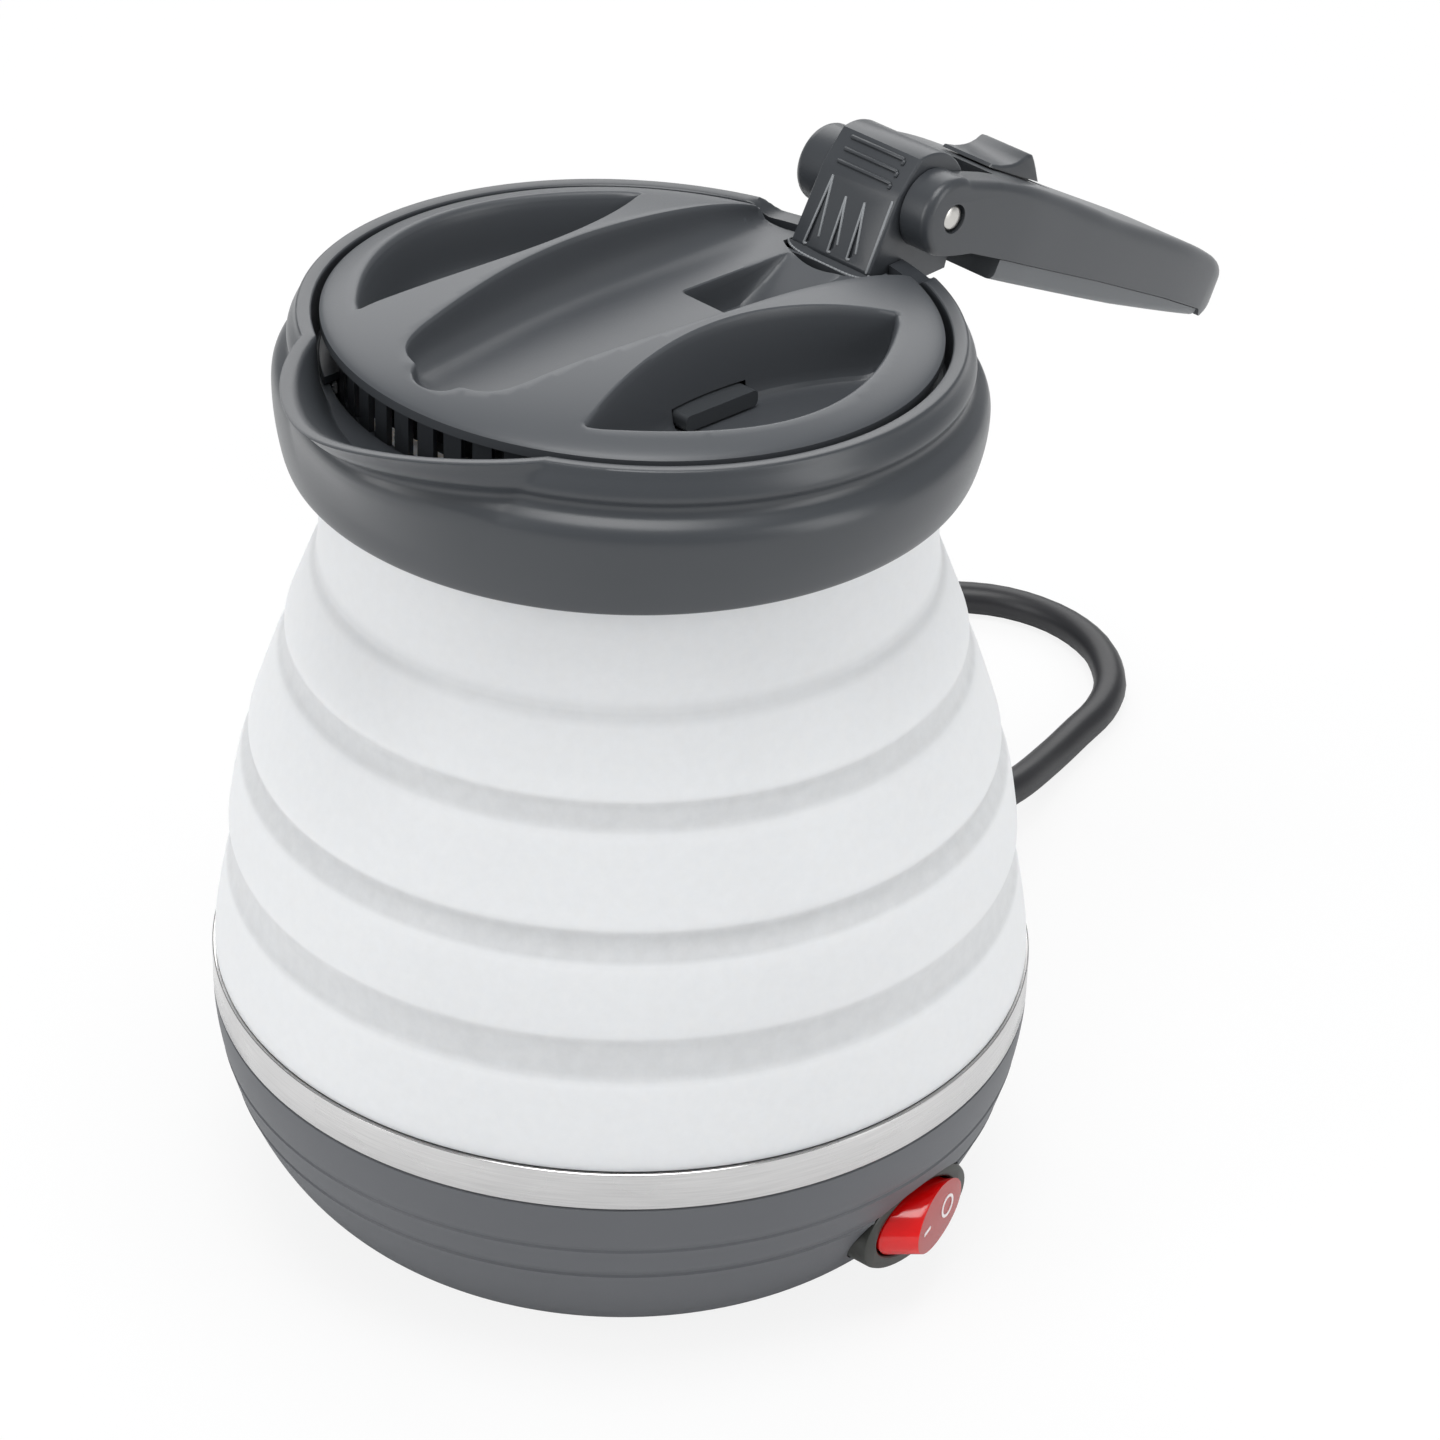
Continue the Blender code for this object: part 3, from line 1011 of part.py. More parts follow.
# Switch housing: deep oval ring with a well for the rocker
bezel_back = -SWITCH_FACE + BEZEL_FRONT_DEPTH
switch_bezel = prism("switch_bezel", [(x, -SWITCH_FACE, SWITCH_Z + z) for x, z in
                                      oval(BEZEL_HALF_LENGTH, BEZEL_HALF_HEIGHT)],
                     (0.0, BEZEL_FRONT_DEPTH, 0.0), BEZEL_BLACK)
join(switch_bezel, prism("bezel_back", [(x, bezel_back - GAP, SWITCH_Z + z) for x, z in
                                        oval(BEZEL_HALF_LENGTH - BEZEL_BACK_INSET,
                                             BEZEL_HALF_HEIGHT - BEZEL_BACK_INSET)],
                         (0.0, BEZEL_BACK_DEPTH, 0.0)))
bevel(switch_bezel, BEZEL_BACK_INSET / 3)
rocker_depth = ROCKER_PIVOT_DEPTH + ROCKER_BODY_DEPTH
well_half_height = BEZEL_HALF_HEIGHT - BEZEL_RIM / 1.5
cut(switch_bezel, prism("well", [(x, -SWITCH_FACE - CUT_OVERRUN, SWITCH_Z + z) for x, z in
                                 oval(BEZEL_HALF_LENGTH - BEZEL_RIM, well_half_height)],
                        (0.0, CUT_OVERRUN + rocker_depth + ROCKER_WELL_SPARE, 0.0)))
switch_mount = pivot("switch_mount", (0.0, 0.0, 0.0), SWITCH_TURN, "Z")
hang(smooth(switch_bezel), switch_mount)

# Rocker: shallow V face, ends rounded about its pivot
rocker_points = []
for index in range(5):
    angle = -ROCKER_TOP_ANGLE / 1.5 + ROCKER_TOP_ANGLE * (1 + 1 / 1.5) * index / 4
    rocker_points.append((ROCKER_RADIUS * math.cos(angle), -ROCKER_RADIUS * math.sin(angle)))
rocker_side = rocker_points + [(0.0, -ROCKER_CREST)] + [(-x, y) for x, y in rocker_points[::-1]]
rocker_half_height = well_half_height - GAP
switch_rocker = prism("switch_rocker", [(x, y, -rocker_half_height) for x, y in rocker_side],
                      (0.0, 0.0, rocker_half_height * 2), ROCKER_RED)
for turn in (-ROCKER_REST_TURN, 0.0, ROCKER_REST_TURN):
    rocker_oval = prism("rocker_oval", [(x, -SWITCH_FACE, z) for x, z in
                                        oval(BEZEL_HALF_LENGTH - BEZEL_RIM - GAP, rocker_half_height)],
                        (0.0, SWITCH_FACE * 2, 0.0))
    keep_common(switch_rocker, place(rocker_oval, Matrix.Rotation(turn, 4, "Z")))
bevel(switch_rocker, GAP, math.radians(50))
rocker_joint = pivot("rocker_joint", (0.0, -SWITCH_FACE + ROCKER_PIVOT_DEPTH, SWITCH_Z), ROCKER_REST_TURN, "Z")
rocker_joint.parent = switch_mount
hang(smooth(switch_rocker), rocker_joint)

# Cord gland: sleeve through the bowl and a tapered, grooved strain relief
gland_end = GLAND_FLANGE_START + GLAND_LENGTH
gland_outline = [(0.0, GLAND_SLEEVE_START), (GLAND_SLEEVE_RADIUS, GLAND_SLEEVE_START),
                 (GLAND_SLEEVE_RADIUS, GLAND_FLANGE_START)]
gland_outline += [(GLAND_FLANGE_RADIUS * radius, GLAND_FLANGE_START + GLAND_LENGTH * along)
                  for radius, along in GLAND_SHARES]
gland_outline += [(0.0, gland_end)]
cord_gland = turned("cord_gland", gland_outline, 20, RUBBER)
smooth(place(cord_gland, gland_matrix))


def smooth_route(points, spacing):
    """Reads evenly spaced points from a smooth curve through the route's points."""
    padded = [points[0] * 2 - points[1]] + points + [points[-1] * 2 - points[-2]]
    dense = []
    for index in range(1, len(padded) - 2):
        before, start, end, after = padded[index - 1:index + 3]
        for step in range(20):
            t = step / 20
            dense.append(0.5 * (2 * start + (end - before) * t + (2 * before - 5 * start + 4 * end - after) * t ** 2
                                + (3 * start - before - 3 * end + after) * t ** 3))
    dense.append(points[-1])
    lengths = [0.0]
    for start, end in zip(dense, dense[1:]):
        lengths.append(lengths[-1] + (end - start).length)
    count = max(2, round(lengths[-1] / spacing))
    places = []
    index = 0
    for step in range(count + 1):
        target = lengths[-1] * step / count
        while index < len(lengths) - 2 and lengths[index + 1] < target:
            index += 1
        span = lengths[index + 1] - lengths[index]
        places.append(dense[index].lerp(dense[index + 1], (target - lengths[index]) / span))
    return places, lengths[-1]


def tube(name, places, radius, resolution, material):
    curve = bpy.data.curves.new(name, "CURVE")
    curve.dimensions = "3D"
    curve.bevel_depth = radius
    curve.bevel_resolution = resolution
    curve.render_resolution_u = 0
    curve.use_fill_caps = True
    line = curve.splines.new("POLY")
    line.points.add(len(places) - 1)
    for point, spot in zip(line.points, places):
        point.co = (*spot, 1.0)
    curve.materials.append(material)
    item = bpy.data.objects.new(name, curve)
    bpy.context.collection.objects.link(item)
    return item


# Coil: the unseen length, wound inwards on the table, up a layer and outwards again
layer_z = STANDING_Z + CORD_RADIUS
plug_z = STANDING_Z + PLUG_BODY_RADIUS
cord_width = CORD_RADIUS * 2
turns_in = COIL_TURNS / 2
climb_start = turns_in - COIL_CLIMB / 2


def ease(share):
    share = min(max(share, 0.0), 1.0)
    return share * share * (3.0 - 2.0 * share)


def coil_place(turn):
    angle = COIL_START + math.tau * turn
    radius = COIL_RADIUS - COIL_PITCH * min(turn, turns_in)
    radius += COIL_PITCH * max(0.0, turn - turns_in)
    level = layer_z + COIL_RISE * ease((turn - climb_start) / COIL_CLIMB)
    level += (plug_z - layer_z - COIL_RISE) * ease((turn - COIL_TURNS + COIL_LIFT_TURNS) / COIL_LIFT_TURNS)
    x, y = ring_point(radius, angle)
    return Vector((COIL_X + x, COIL_Y + y, level))


def heading(angle):
    return Vector((-math.sin(angle), math.cos(angle), 0.0))


coil_end_angle = COIL_START + math.tau * COIL_TURNS
coil_steps = round(COIL_TURNS * COIL_LOOP_POINTS)
coil_places = [coil_place(COIL_TURNS * step / coil_steps) for step in range(coil_steps + 1)]
coil_mouth = coil_places[0] - heading(COIL_START) * cord_width
coil_tail = coil_places[-1] + heading(coil_end_angle) * cord_width
coil_places = [coil_mouth] + coil_places + [coil_tail]
tube("cord_coil", coil_places, CORD_RADIUS, 1, CORD_BLACK)
least_gap = min((coil_places[first] - coil_places[second]).length for first in range(len(coil_places))
                for second in range(first + COIL_LOOP_POINTS // 2, len(coil_places))) - cord_width
print("least gap of the coil to itself, mm: %.2f" % (least_gap * 1000))

# Lead: from the gland to the mouth of the coil
gland_way = Vector((math.cos(GLAND_TURN), math.sin(GLAND_TURN), 0.0))
lead_start = gland_way * (gland_end + GAP) + Vector((0.0, 0.0, GLAND_Z))
lead_end = coil_mouth - heading(COIL_START) * GAP
lead_points = [lead_start, lead_start + gland_way * cord_width] + [Vector(spot) for spot in CORD_ROUTE]
lead_points += [lead_end - heading(COIL_START) * cord_width, lead_end]
lead_places, lead_length = smooth_route(lead_points, CORD_POINT_SPACING)
tube("cord_lead", lead_places, CORD_RADIUS, 3, CORD_BLACK)
coil_length = sum((end - start).length for start, end in zip(coil_places, coil_places[1:]))
print("cord length, m: %.3f" % (lead_length + coil_length))

# Plug: tapered relief, round body and two pins
plug_matrix = Matrix.Translation(coil_tail + heading(coil_end_angle) * GAP) \
    @ Matrix.Rotation(coil_end_angle + math.pi / 2, 4, "Z") @ Matrix.Rotation(math.pi / 2, 4, "Y")
relief_end = PLUG_RELIEF_LENGTH
body_end = relief_end + PLUG_BODY_LENGTH
plug_outline = [(0.0, 0.0)]
plug_outline += [(PLUG_BODY_RADIUS * radius, relief_end * along) for radius, along in PLUG_SHARES]
plug_outline += [
    (PLUG_BODY_RADIUS - PLUG_ROUND, relief_end), (PLUG_BODY_RADIUS, relief_end + PLUG_ROUND),
    (PLUG_BODY_RADIUS, body_end), (0.0, body_end),
]
mains_plug = turned("mains_plug", plug_outline, 28, CORD_BLACK)
for side, label in ((1, "plug_pin_1"), (-1, "plug_pin_2")):
    middle = (0.0, side * PLUG_PIN_SPACING / 2)
    cut(mains_plug, cylinder("pin_seat", middle, PLUG_PIN_RADIUS + GAP, body_end - PLUG_PIN_SEAT,
                             body_end + CUT_OVERRUN, 14))
    plug_pin = cylinder(label, middle, PLUG_PIN_RADIUS, body_end - PLUG_PIN_SEAT + GAP,
                        body_end + PLUG_PIN_LENGTH, 14, NICKEL)
    smooth(place(plug_pin, plug_matrix))
smooth(place(mains_plug, plug_matrix))
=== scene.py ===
import math

import bmesh
import bpy
import numpy as np
from mathutils import Matrix, Vector
from mathutils.geometry import delaunay_2d_cdt
from mathutils.kdtree import KDTree


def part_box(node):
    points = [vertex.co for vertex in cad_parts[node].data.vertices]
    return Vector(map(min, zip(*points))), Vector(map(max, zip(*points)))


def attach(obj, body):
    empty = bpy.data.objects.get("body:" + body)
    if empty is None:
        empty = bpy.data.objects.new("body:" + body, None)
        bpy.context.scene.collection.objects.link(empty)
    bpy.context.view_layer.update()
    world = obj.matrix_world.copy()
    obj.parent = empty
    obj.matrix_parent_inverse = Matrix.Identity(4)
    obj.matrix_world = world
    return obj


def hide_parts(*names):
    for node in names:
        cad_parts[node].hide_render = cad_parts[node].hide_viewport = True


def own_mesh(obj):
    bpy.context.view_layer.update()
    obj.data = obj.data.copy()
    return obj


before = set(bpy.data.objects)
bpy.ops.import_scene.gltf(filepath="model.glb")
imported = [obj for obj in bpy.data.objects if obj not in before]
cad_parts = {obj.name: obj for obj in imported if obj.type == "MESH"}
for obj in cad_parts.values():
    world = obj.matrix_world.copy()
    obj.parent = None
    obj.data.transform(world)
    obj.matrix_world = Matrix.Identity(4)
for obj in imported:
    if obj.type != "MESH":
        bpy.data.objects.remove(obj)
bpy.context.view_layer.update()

# Camera: a long lens in front of the spout and to the kettle's left, a third of the way up to overhead.
# It is level within a degree or two, so it is set from the three directions of its own frame.
camera_data = bpy.data.cameras.new("camera")
camera_data.sensor_width = 36.0
camera_data.lens = 125.8325
camera_data.clip_end = 20.0
camera = bpy.data.objects.new("camera", camera_data)
bpy.context.scene.collection.objects.link(camera)
camera_right = Vector((0.70288767, -0.71081267, 0.02634911))
camera_up = Vector((0.36294341, 0.39026275, 0.84614837))
camera_ahead = Vector((0.61173606, 0.58518402, -0.53229565))
camera.matrix_world = Matrix.Translation((-0.53285752, -0.53285752, 0.56499056)) @ Matrix(
    (camera_right, camera_up, -camera_ahead)).transposed().to_4x4()
bpy.context.scene.camera = camera
bpy.context.scene.view_settings.view_transform = "Standard"

# Studio: a white table top under soft boxes, with a large box overhead, one behind and one at each side.
# The table and the air look plain white to the camera and through clear plastic, and the table keeps a soft
# shadow.
TABLE_Z = -0.0015
PAPER_WHITE_SHARE = 0.86


def linear(colour):
    """Turns an sRGB hex colour into the linear values that the shaders take."""
    parts = [int(colour[start:start + 2], 16) / 255 for start in (1, 3, 5)]
    return [part / 12.92 if part <= 0.04045 else ((part + 0.055) / 1.055) ** 2.4 for part in parts] + [1.0]


def new_material(name, sockets=None):
    material = bpy.data.materials.new(name)
    material.use_nodes = True
    shader = material.node_tree.nodes["Principled BSDF"]
    for socket, value in (sockets or {}).items():
        shader.inputs[socket].default_value = value
    return material, material.node_tree, shader


def add_node(tree, kind, settings=None, **links):
    """Adds a node, sets its properties and sockets, and links the sockets that are given an output.
    A socket goes by its name, or by its number where names repeat: 6 in the settings, _6 in the links."""
    node = tree.nodes.new(kind)
    for name, value in (settings or {}).items():
        if isinstance(name, int) or name in node.inputs:
            node.inputs[name].default_value = value
        else:
            setattr(node, name, value)
    for name, output in links.items():
        if name[1:].isdigit():
            socket = node.inputs[int(name[1:])]
        else:
            socket = next(s for s in node.inputs if s.enabled and s.name.replace(" ", "_") == name)
        tree.links.new(output, socket)
    return node


def white_when_seen(tree, lit, white_kind, output, share=None):
    """Mixes white over a lit surface, for the camera's own rays and those that pass through clear things."""
    ray = add_node(tree, "ShaderNodeLightPath")
    seen = add_node(tree, "ShaderNodeMath", {"operation": "MAXIMUM"},
                    _0=ray.outputs["Is Camera Ray"], _1=ray.outputs["Is Transmission Ray"])
    if share is not None:
        seen = add_node(tree, "ShaderNodeMath", {"operation": "MULTIPLY", 1: share}, _0=seen.outputs[0])
    glow = add_node(tree, white_kind, {"Color": linear("#ffffff"), "Strength": 1.0})
    mix = add_node(tree, "ShaderNodeMixShader",
                   _0=seen.outputs[0], _1=lit.outputs[0], _2=glow.outputs[0])
    tree.links.new(mix.outputs[0], tree.nodes[output].inputs["Surface"])


def deselect():
    bpy.ops.object.select_all(action="DESELECT")


deselect()
bpy.ops.mesh.primitive_plane_add(size=6.0, location=(0.0, 0.0, TABLE_Z - 0.0001))
table_top = bpy.context.object
table_top.name = "table_top"
table_paper, paper_tree, paper_shader = new_material("matt_white_paper", {
    "Base Color": linear("#f4f4f4"), "Roughness": 1.0, "Specular IOR Level": 0.0})
white_when_seen(paper_tree, paper_shader, "ShaderNodeEmission", "Material Output", PAPER_WHITE_SHARE)
table_top.data.materials.append(table_paper)


def soft_box(name, place, target, width, height, power):
    """A rectangular studio soft box that faces a point."""
    lamp = bpy.data.lights.new(name, "AREA")
    lamp.shape = "RECTANGLE"
    lamp.size = width
    lamp.size_y = height
    lamp.energy = power
    item = bpy.data.objects.new(name, lamp)
    bpy.context.scene.collection.objects.link(item)
    item.location = place
    item.rotation_euler = (Vector(target) - Vector(place)).to_track_quat("-Z", "Y").to_euler()


soft_box("overhead_box", (-0.15, -0.15, 1.3), (0.0, 0.0, 0.1), 0.7, 0.7, 8.4)
soft_box("back_box", (0.95, 0.95, 0.95), (0.0, 0.0, 0.12), 1.7, 1.1, 11.5)
soft_box("left_box", (-1.3, 0.35, 0.6), (0.0, 0.0, 0.1), 0.5, 1.1, 6.2)
soft_box("right_box", (0.45, -1.3, 0.5), (0.0, 0.0, 0.1), 0.5, 1.1, 5.2)

world = bpy.data.worlds.new("white_studio_air")
bpy.context.scene.world = world
world.use_nodes = True
air = world.node_tree.nodes["Background"]
air.inputs["Color"].default_value = linear("#f2f4f6")
air.inputs["Strength"].default_value = 0.4
white_when_seen(world.node_tree, air, "ShaderNodeBackground", "World Output")

# Mains lead: round PVC flex of three cores, 7 mm across, black and a little shiny from its extruder.
# It leaves the gland, sinks to the table, turns back behind the kettle and lies there in a flat coil.
CORD_RADIUS = 0.0035
GLAND_TURN = math.radians(9.5)
GLAND_Z = 0.0105
GLAND_START = 0.06925
GLAND_LENGTH = 0.0285
CORD_ROUTE = (
    (0.1155, 0.0195, 0.0092), (0.1355, 0.0225, 0.0062), (0.152, 0.0274, 0.0034), (0.165, 0.0312, 0.0023),
    (0.1761, 0.0342, 0.002), (0.1858, 0.0398, 0.002), (0.1942, 0.0508, 0.002), (0.1972, 0.0643, 0.002),
    (0.1942, 0.0778, 0.002), (0.1858, 0.0888, 0.002), (0.1715, 0.1008, 0.002), (0.1555, 0.1142, 0.002),
)
COIL_CENTRE = (0.102, 0.103)
COIL_RADIUS = 0.0428
COIL_PITCH = 0.0077
COIL_RISE = 0.0085
COIL_START = math.radians(50)
COIL_TURNS = 3.875
COIL_CLIMB = 0.5
COIL_LIFT = 0.2
COIL_POINTS = 24
PLUG_AXIS_Z = 0.017
CURVE_STEPS = 24


def ease(share):
    share = min(max(share, 0.0), 1.0)
    return share * share * (3.0 - 2.0 * share)


def coil_place(turn):
    """A point of the coil: one layer wound inwards, one outwards on top of it, then up to the plug."""
    angle = COIL_START + math.tau * turn
    half = COIL_TURNS / 2
    radius = COIL_RADIUS - COIL_PITCH * min(turn, half) + COIL_PITCH * max(0.0, turn - half)
    level = TABLE_Z + CORD_RADIUS
    level += COIL_RISE * ease((turn - half + COIL_CLIMB / 2) / COIL_CLIMB)
    plug_rise = PLUG_AXIS_Z - TABLE_Z - CORD_RADIUS - COIL_RISE
    level += plug_rise * ease((turn - COIL_TURNS + COIL_LIFT) / COIL_LIFT)
    x, y = COIL_CENTRE
    return Vector((x + radius * math.cos(angle), y + radius * math.sin(angle), level))


def coil_heading(angle):
    return Vector((-math.sin(angle), math.cos(angle), 0.0))


gland_way = Vector((math.cos(GLAND_TURN), math.sin(GLAND_TURN), 0.0))
gland_mouth = gland_way * (GLAND_START + GLAND_LENGTH) + Vector((0.0, 0.0, GLAND_Z))
coil_end_angle = COIL_START + math.tau * COIL_TURNS
coil_count = round(COIL_TURNS * COIL_POINTS)
coil_line = [coil_place(COIL_TURNS * step / coil_count) for step in range(coil_count + 1)]
coil_mouth = coil_line[0] - coil_heading(COIL_START) * CORD_RADIUS * 2
coil_tail = coil_line[-1] + coil_heading(coil_end_angle) * CORD_RADIUS * 2
lead_line = [gland_mouth, gland_mouth + gland_way * CORD_RADIUS * 2] + [Vector(spot) for spot in CORD_ROUTE]
lead_line += [coil_mouth - coil_heading(COIL_START) * CORD_RADIUS * 2]


def rounded_line(points, spacing):
    """Reads evenly spaced points from a smooth curve through the points."""
    padded = [points[0] * 2 - points[1]] + points + [points[-1] * 2 - points[-2]]
    dense = []
    for before, start, end, after in zip(padded, padded[1:], padded[2:], padded[3:]):
        for step in range(CURVE_STEPS):
            t = step / CURVE_STEPS
            dense.append(0.5 * (2 * start + (end - before) * t
                                + (2 * before - 5 * start + 4 * end - after) * t ** 2
                                + (3 * start - before - 3 * end + after) * t ** 3))
    dense.append(points[-1])
    even = [dense[0]]
    run = 0.0
    for start, end in zip(dense, dense[1:]):
        run += (end - start).length
        if run >= spacing:
            even.append(end)
            run = 0.0
    even[-1] = points[-1]
    return even


cord_line = rounded_line(lead_line + [coil_mouth] + coil_line + [coil_tail], CORD_RADIUS)
cord_curve = bpy.data.curves.new("mains_lead", "CURVE")
cord_curve.dimensions = "3D"
cord_curve.bevel_depth = CORD_RADIUS
cord_curve.bevel_resolution = 6
cord_curve.render_resolution_u = 0
cord_curve.use_fill_caps = True
cord_spline = cord_curve.splines.new("POLY")
cord_spline.points.add(len(cord_line) - 1)
for point, spot in zip(cord_spline.points, cord_line):
    point.co = (*spot, 1.0)
cord_spline.use_smooth = True
mains_lead = bpy.data.objects.new("mains_lead", cord_curve)
bpy.context.scene.collection.objects.link(mains_lead)


def cloudy_finish(name, sockets, colour, lit_colour, patch, detail=2.0):
    """Starts a material whose colour drifts between two shades, in patches of a size in metres."""
    material, tree, shader = new_material(name, sockets)
    place = add_node(tree, "ShaderNodeTexCoord").outputs["Object"]
    cloud = add_node(tree, "ShaderNodeTexNoise", {"Scale": 1 / patch, "Detail": detail}, Vector=place)
    tone = add_node(tree, "ShaderNodeMix", {"data_type": "RGBA", 6: linear(colour), 7: linear(lit_colour)},
                    Factor=cloud.outputs["Fac"])
    tree.links.new(tone.outputs[2], shader.inputs["Base Color"])
    return material, tree, shader, place, cloud


def grainy_skin(tree, shader, place, grain_size, strength):
    """Roughens a moulded or extruded skin with grain of a size in metres."""
    grain = add_node(tree, "ShaderNodeTexNoise", {"Scale": 1 / grain_size, "Detail": 2.0}, Vector=place)
    bump = add_node(tree, "ShaderNodeBump", {"Strength": strength, "Distance": 0.0001},
                    Height=grain.outputs["Fac"])
    tree.links.new(bump.outputs["Normal"], shader.inputs["Normal"])


# Extruded PVC: close to black, with a fine matt skin that breaks the highlight along the cord.
# The skin of extruded flex is pitted at about 0.3 mm; it is drawn at 0.8 mm so that it shows.
cord_pvc, pvc_tree, pvc_shader, pvc_place, _ = cloudy_finish(
    "extruded_black_pvc", {"Roughness": 0.42, "IOR": 1.53}, "#17171a", "#222226", 0.02, 3.0)
grainy_skin(pvc_tree, pvc_shader, pvc_place, 0.0008, 0.15)
cord_curve.materials.append(cord_pvc)
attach(mains_lead, "base")
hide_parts("cord_lead", "cord_coil")

# Cord gland: a flange, a ribbed strain relief and the sleeve that clips it into the base.
# It is moulded in soft black PVC over the lead, in rings that bend with it.
GLAND_OUTLINE = (
    (6.8, 0.0), (6.8, 2.2), (6.3, 2.7), (6.0, 3.0), (6.0, 6.6), (5.7, 7.0), (5.2, 7.3), (5.2, 8.9),
    (5.5, 9.4), (5.5, 12.9), (5.2, 13.4), (4.8, 13.7), (4.8, 15.2), (5.1, 15.7), (5.1, 19.2), (4.8, 19.7),
    (4.4, 20.0), (4.4, 21.5), (4.7, 22.0), (4.6, 27.6), (4.1, 28.4), (3.55, 28.5),
)


def in_metres(points):
    return [(across / 1000, along / 1000) for across, along in points]


def extruded_rings(name, outline, steps=96):
    """Extrudes a circle ring by ring along an outline of (radius, height) points.
    An outline that comes back to its start is joined up there, and any other is closed flat at both ends."""
    deselect()
    first_radius, first_height = outline[0]
    bpy.ops.mesh.primitive_circle_add(vertices=steps, radius=first_radius, location=(0.0, 0.0, first_height))
    piece = bpy.context.object
    piece.name = name
    bpy.ops.object.transform_apply()
    bpy.ops.object.mode_set(mode="EDIT")
    for (radius, height), (next_radius, next_height) in zip(outline, outline[1:]):
        bpy.ops.mesh.extrude_region_move(TRANSFORM_OT_translate={"value": (0.0, 0.0, next_height - height)})
        grow = next_radius / radius
        bpy.ops.transform.resize(value=(grow, grow, 1.0), center_override=(0.0, 0.0, 0.0))
    bpy.ops.mesh.select_all(action="SELECT")
    bpy.ops.mesh.remove_doubles(threshold=0.000001)
    bpy.ops.mesh.fill_holes(sides=0)
    bpy.ops.mesh.normals_make_consistent(inside=False)
    bpy.ops.object.mode_set(mode="OBJECT")
    return piece


def pick(piece, *others):
    """Selects pieces alone, and makes the first of them the active one."""
    deselect()
    for item in (piece, *others):
        item.select_set(True)
    bpy.context.view_layer.objects.active = piece


def smooth_over(piece, degrees=30):
    pick(piece)
    bpy.ops.object.shade_smooth_by_angle(angle=math.radians(degrees))


# What is made upright is turned to lie along x or y.
UPRIGHT_TO_X = Matrix.Rotation(math.pi / 2, 4, "Y")
UPRIGHT_TO_Y = Matrix.Rotation(math.pi / 2, 4, "X")
gland_place = Matrix.Translation((0.0, 0.0, GLAND_Z)) @ Matrix.Rotation(GLAND_TURN, 4, "Z")
cord_gland = extruded_rings("strain_relief", in_metres(GLAND_OUTLINE), 48)
cord_gland.data.transform(gland_place @ UPRIGHT_TO_X @ Matrix.Translation((0.0, 0.0, GLAND_START)))
smooth_over(cord_gland)


def moulded_rubber(name, colour, roughness, ior, grain_size, strength):
    """Moulded rubber or soft PVC: one flat dark colour under the spark-eroded grain of its mould."""
    material, tree, shader = new_material(
        name, {"Base Color": linear(colour), "Roughness": roughness, "IOR": ior})
    grainy_skin(tree, shader, add_node(tree, "ShaderNodeTexCoord").outputs["Object"], grain_size, strength)
    return material


# Moulded black PVC is softer and duller than the flex. Its grain is drawn at 0.6 mm so that it shows.
moulded_pvc = moulded_rubber("moulded_black_pvc", "#1d1d1f", 0.55, 1.53, 0.0006, 0.2)
cord_gland.data.materials.append(moulded_pvc)
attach(cord_gland, "base")
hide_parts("cord_gland")

# Mains plug: round two-pin plug, moulded in black PVC on the end of the lead, with a ribbed relief behind.
# Its two pins are nickel-plated brass with rounded ends, and the face between them is sunk a little.
PLUG_OUTLINE = (
    (3.55, 0.0), (3.8, 0.3), (4.0, 6.0), (4.7, 6.5), (4.7, 9.0), (4.1, 9.5), (4.3, 13.0), (5.2, 13.5),
    (5.2, 16.0), (4.6, 16.5), (4.9, 20.0), (6.0, 20.5), (6.0, 23.0), (5.4, 23.6), (5.9, 29.0), (7.4, 35.0),
    (9.4, 39.0), (13.4, 39.7), (15.6, 40.4), (17.0, 41.4), (17.9, 42.9), (18.3, 45.0), (17.7, 50.0),
    (17.4, 55.0), (17.7, 60.0), (18.3, 65.0), (18.45, 67.5), (18.1, 69.2), (17.2, 70.3), (16.2, 70.9),
    (14.6, 71.0), (14.2, 70.6), (13.9, 69.9),
)
PIN_OUTLINE = ((2.4, 65.6), (2.4, 88.4), (2.3, 89.1), (1.9, 89.7), (1.1, 89.95))
PIN_SPREAD = 0.0095
PLUG_GAP = 0.0003
plug_place = Matrix.Translation(coil_tail + coil_heading(coil_end_angle) * PLUG_GAP) \
    @ Matrix.Rotation(coil_end_angle + math.pi / 2, 4, "Z") @ UPRIGHT_TO_X
mains_plug = extruded_rings("round_plug", in_metres(PLUG_OUTLINE), 96)
mains_plug.data.transform(plug_place)
smooth_over(mains_plug)
mains_plug.data.materials.append(moulded_pvc)
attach(mains_plug, "base")
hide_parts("mains_plug")


def bare_metal(name, colour, mark_size, detail, smoothest, roughest):
    """Bare or plated metal, whose gloss varies in marks of a size in metres."""
    material, tree, shader = new_material(name, {"Base Color": linear(colour), "Metallic": 1.0})
    place = add_node(tree, "ShaderNodeTexCoord")
    marks = add_node(tree, "ShaderNodeTexNoise", {"Scale": 1 / mark_size, "Detail": detail},
                     Vector=place.outputs["Object"])
    gloss = add_node(tree, "ShaderNodeMapRange", {"To Min": smoothest, "To Max": roughest},
                     Value=marks.outputs["Fac"])
    tree.links.new(gloss.outputs[0], shader.inputs["Roughness"])
    return material


def copy_piece(piece, name):
    """A second piece of the same shape, with a mesh of its own."""
    twin = piece.copy()
    twin.data = piece.data.copy()
    twin.name = name
    bpy.context.scene.collection.objects.link(twin)
    return twin


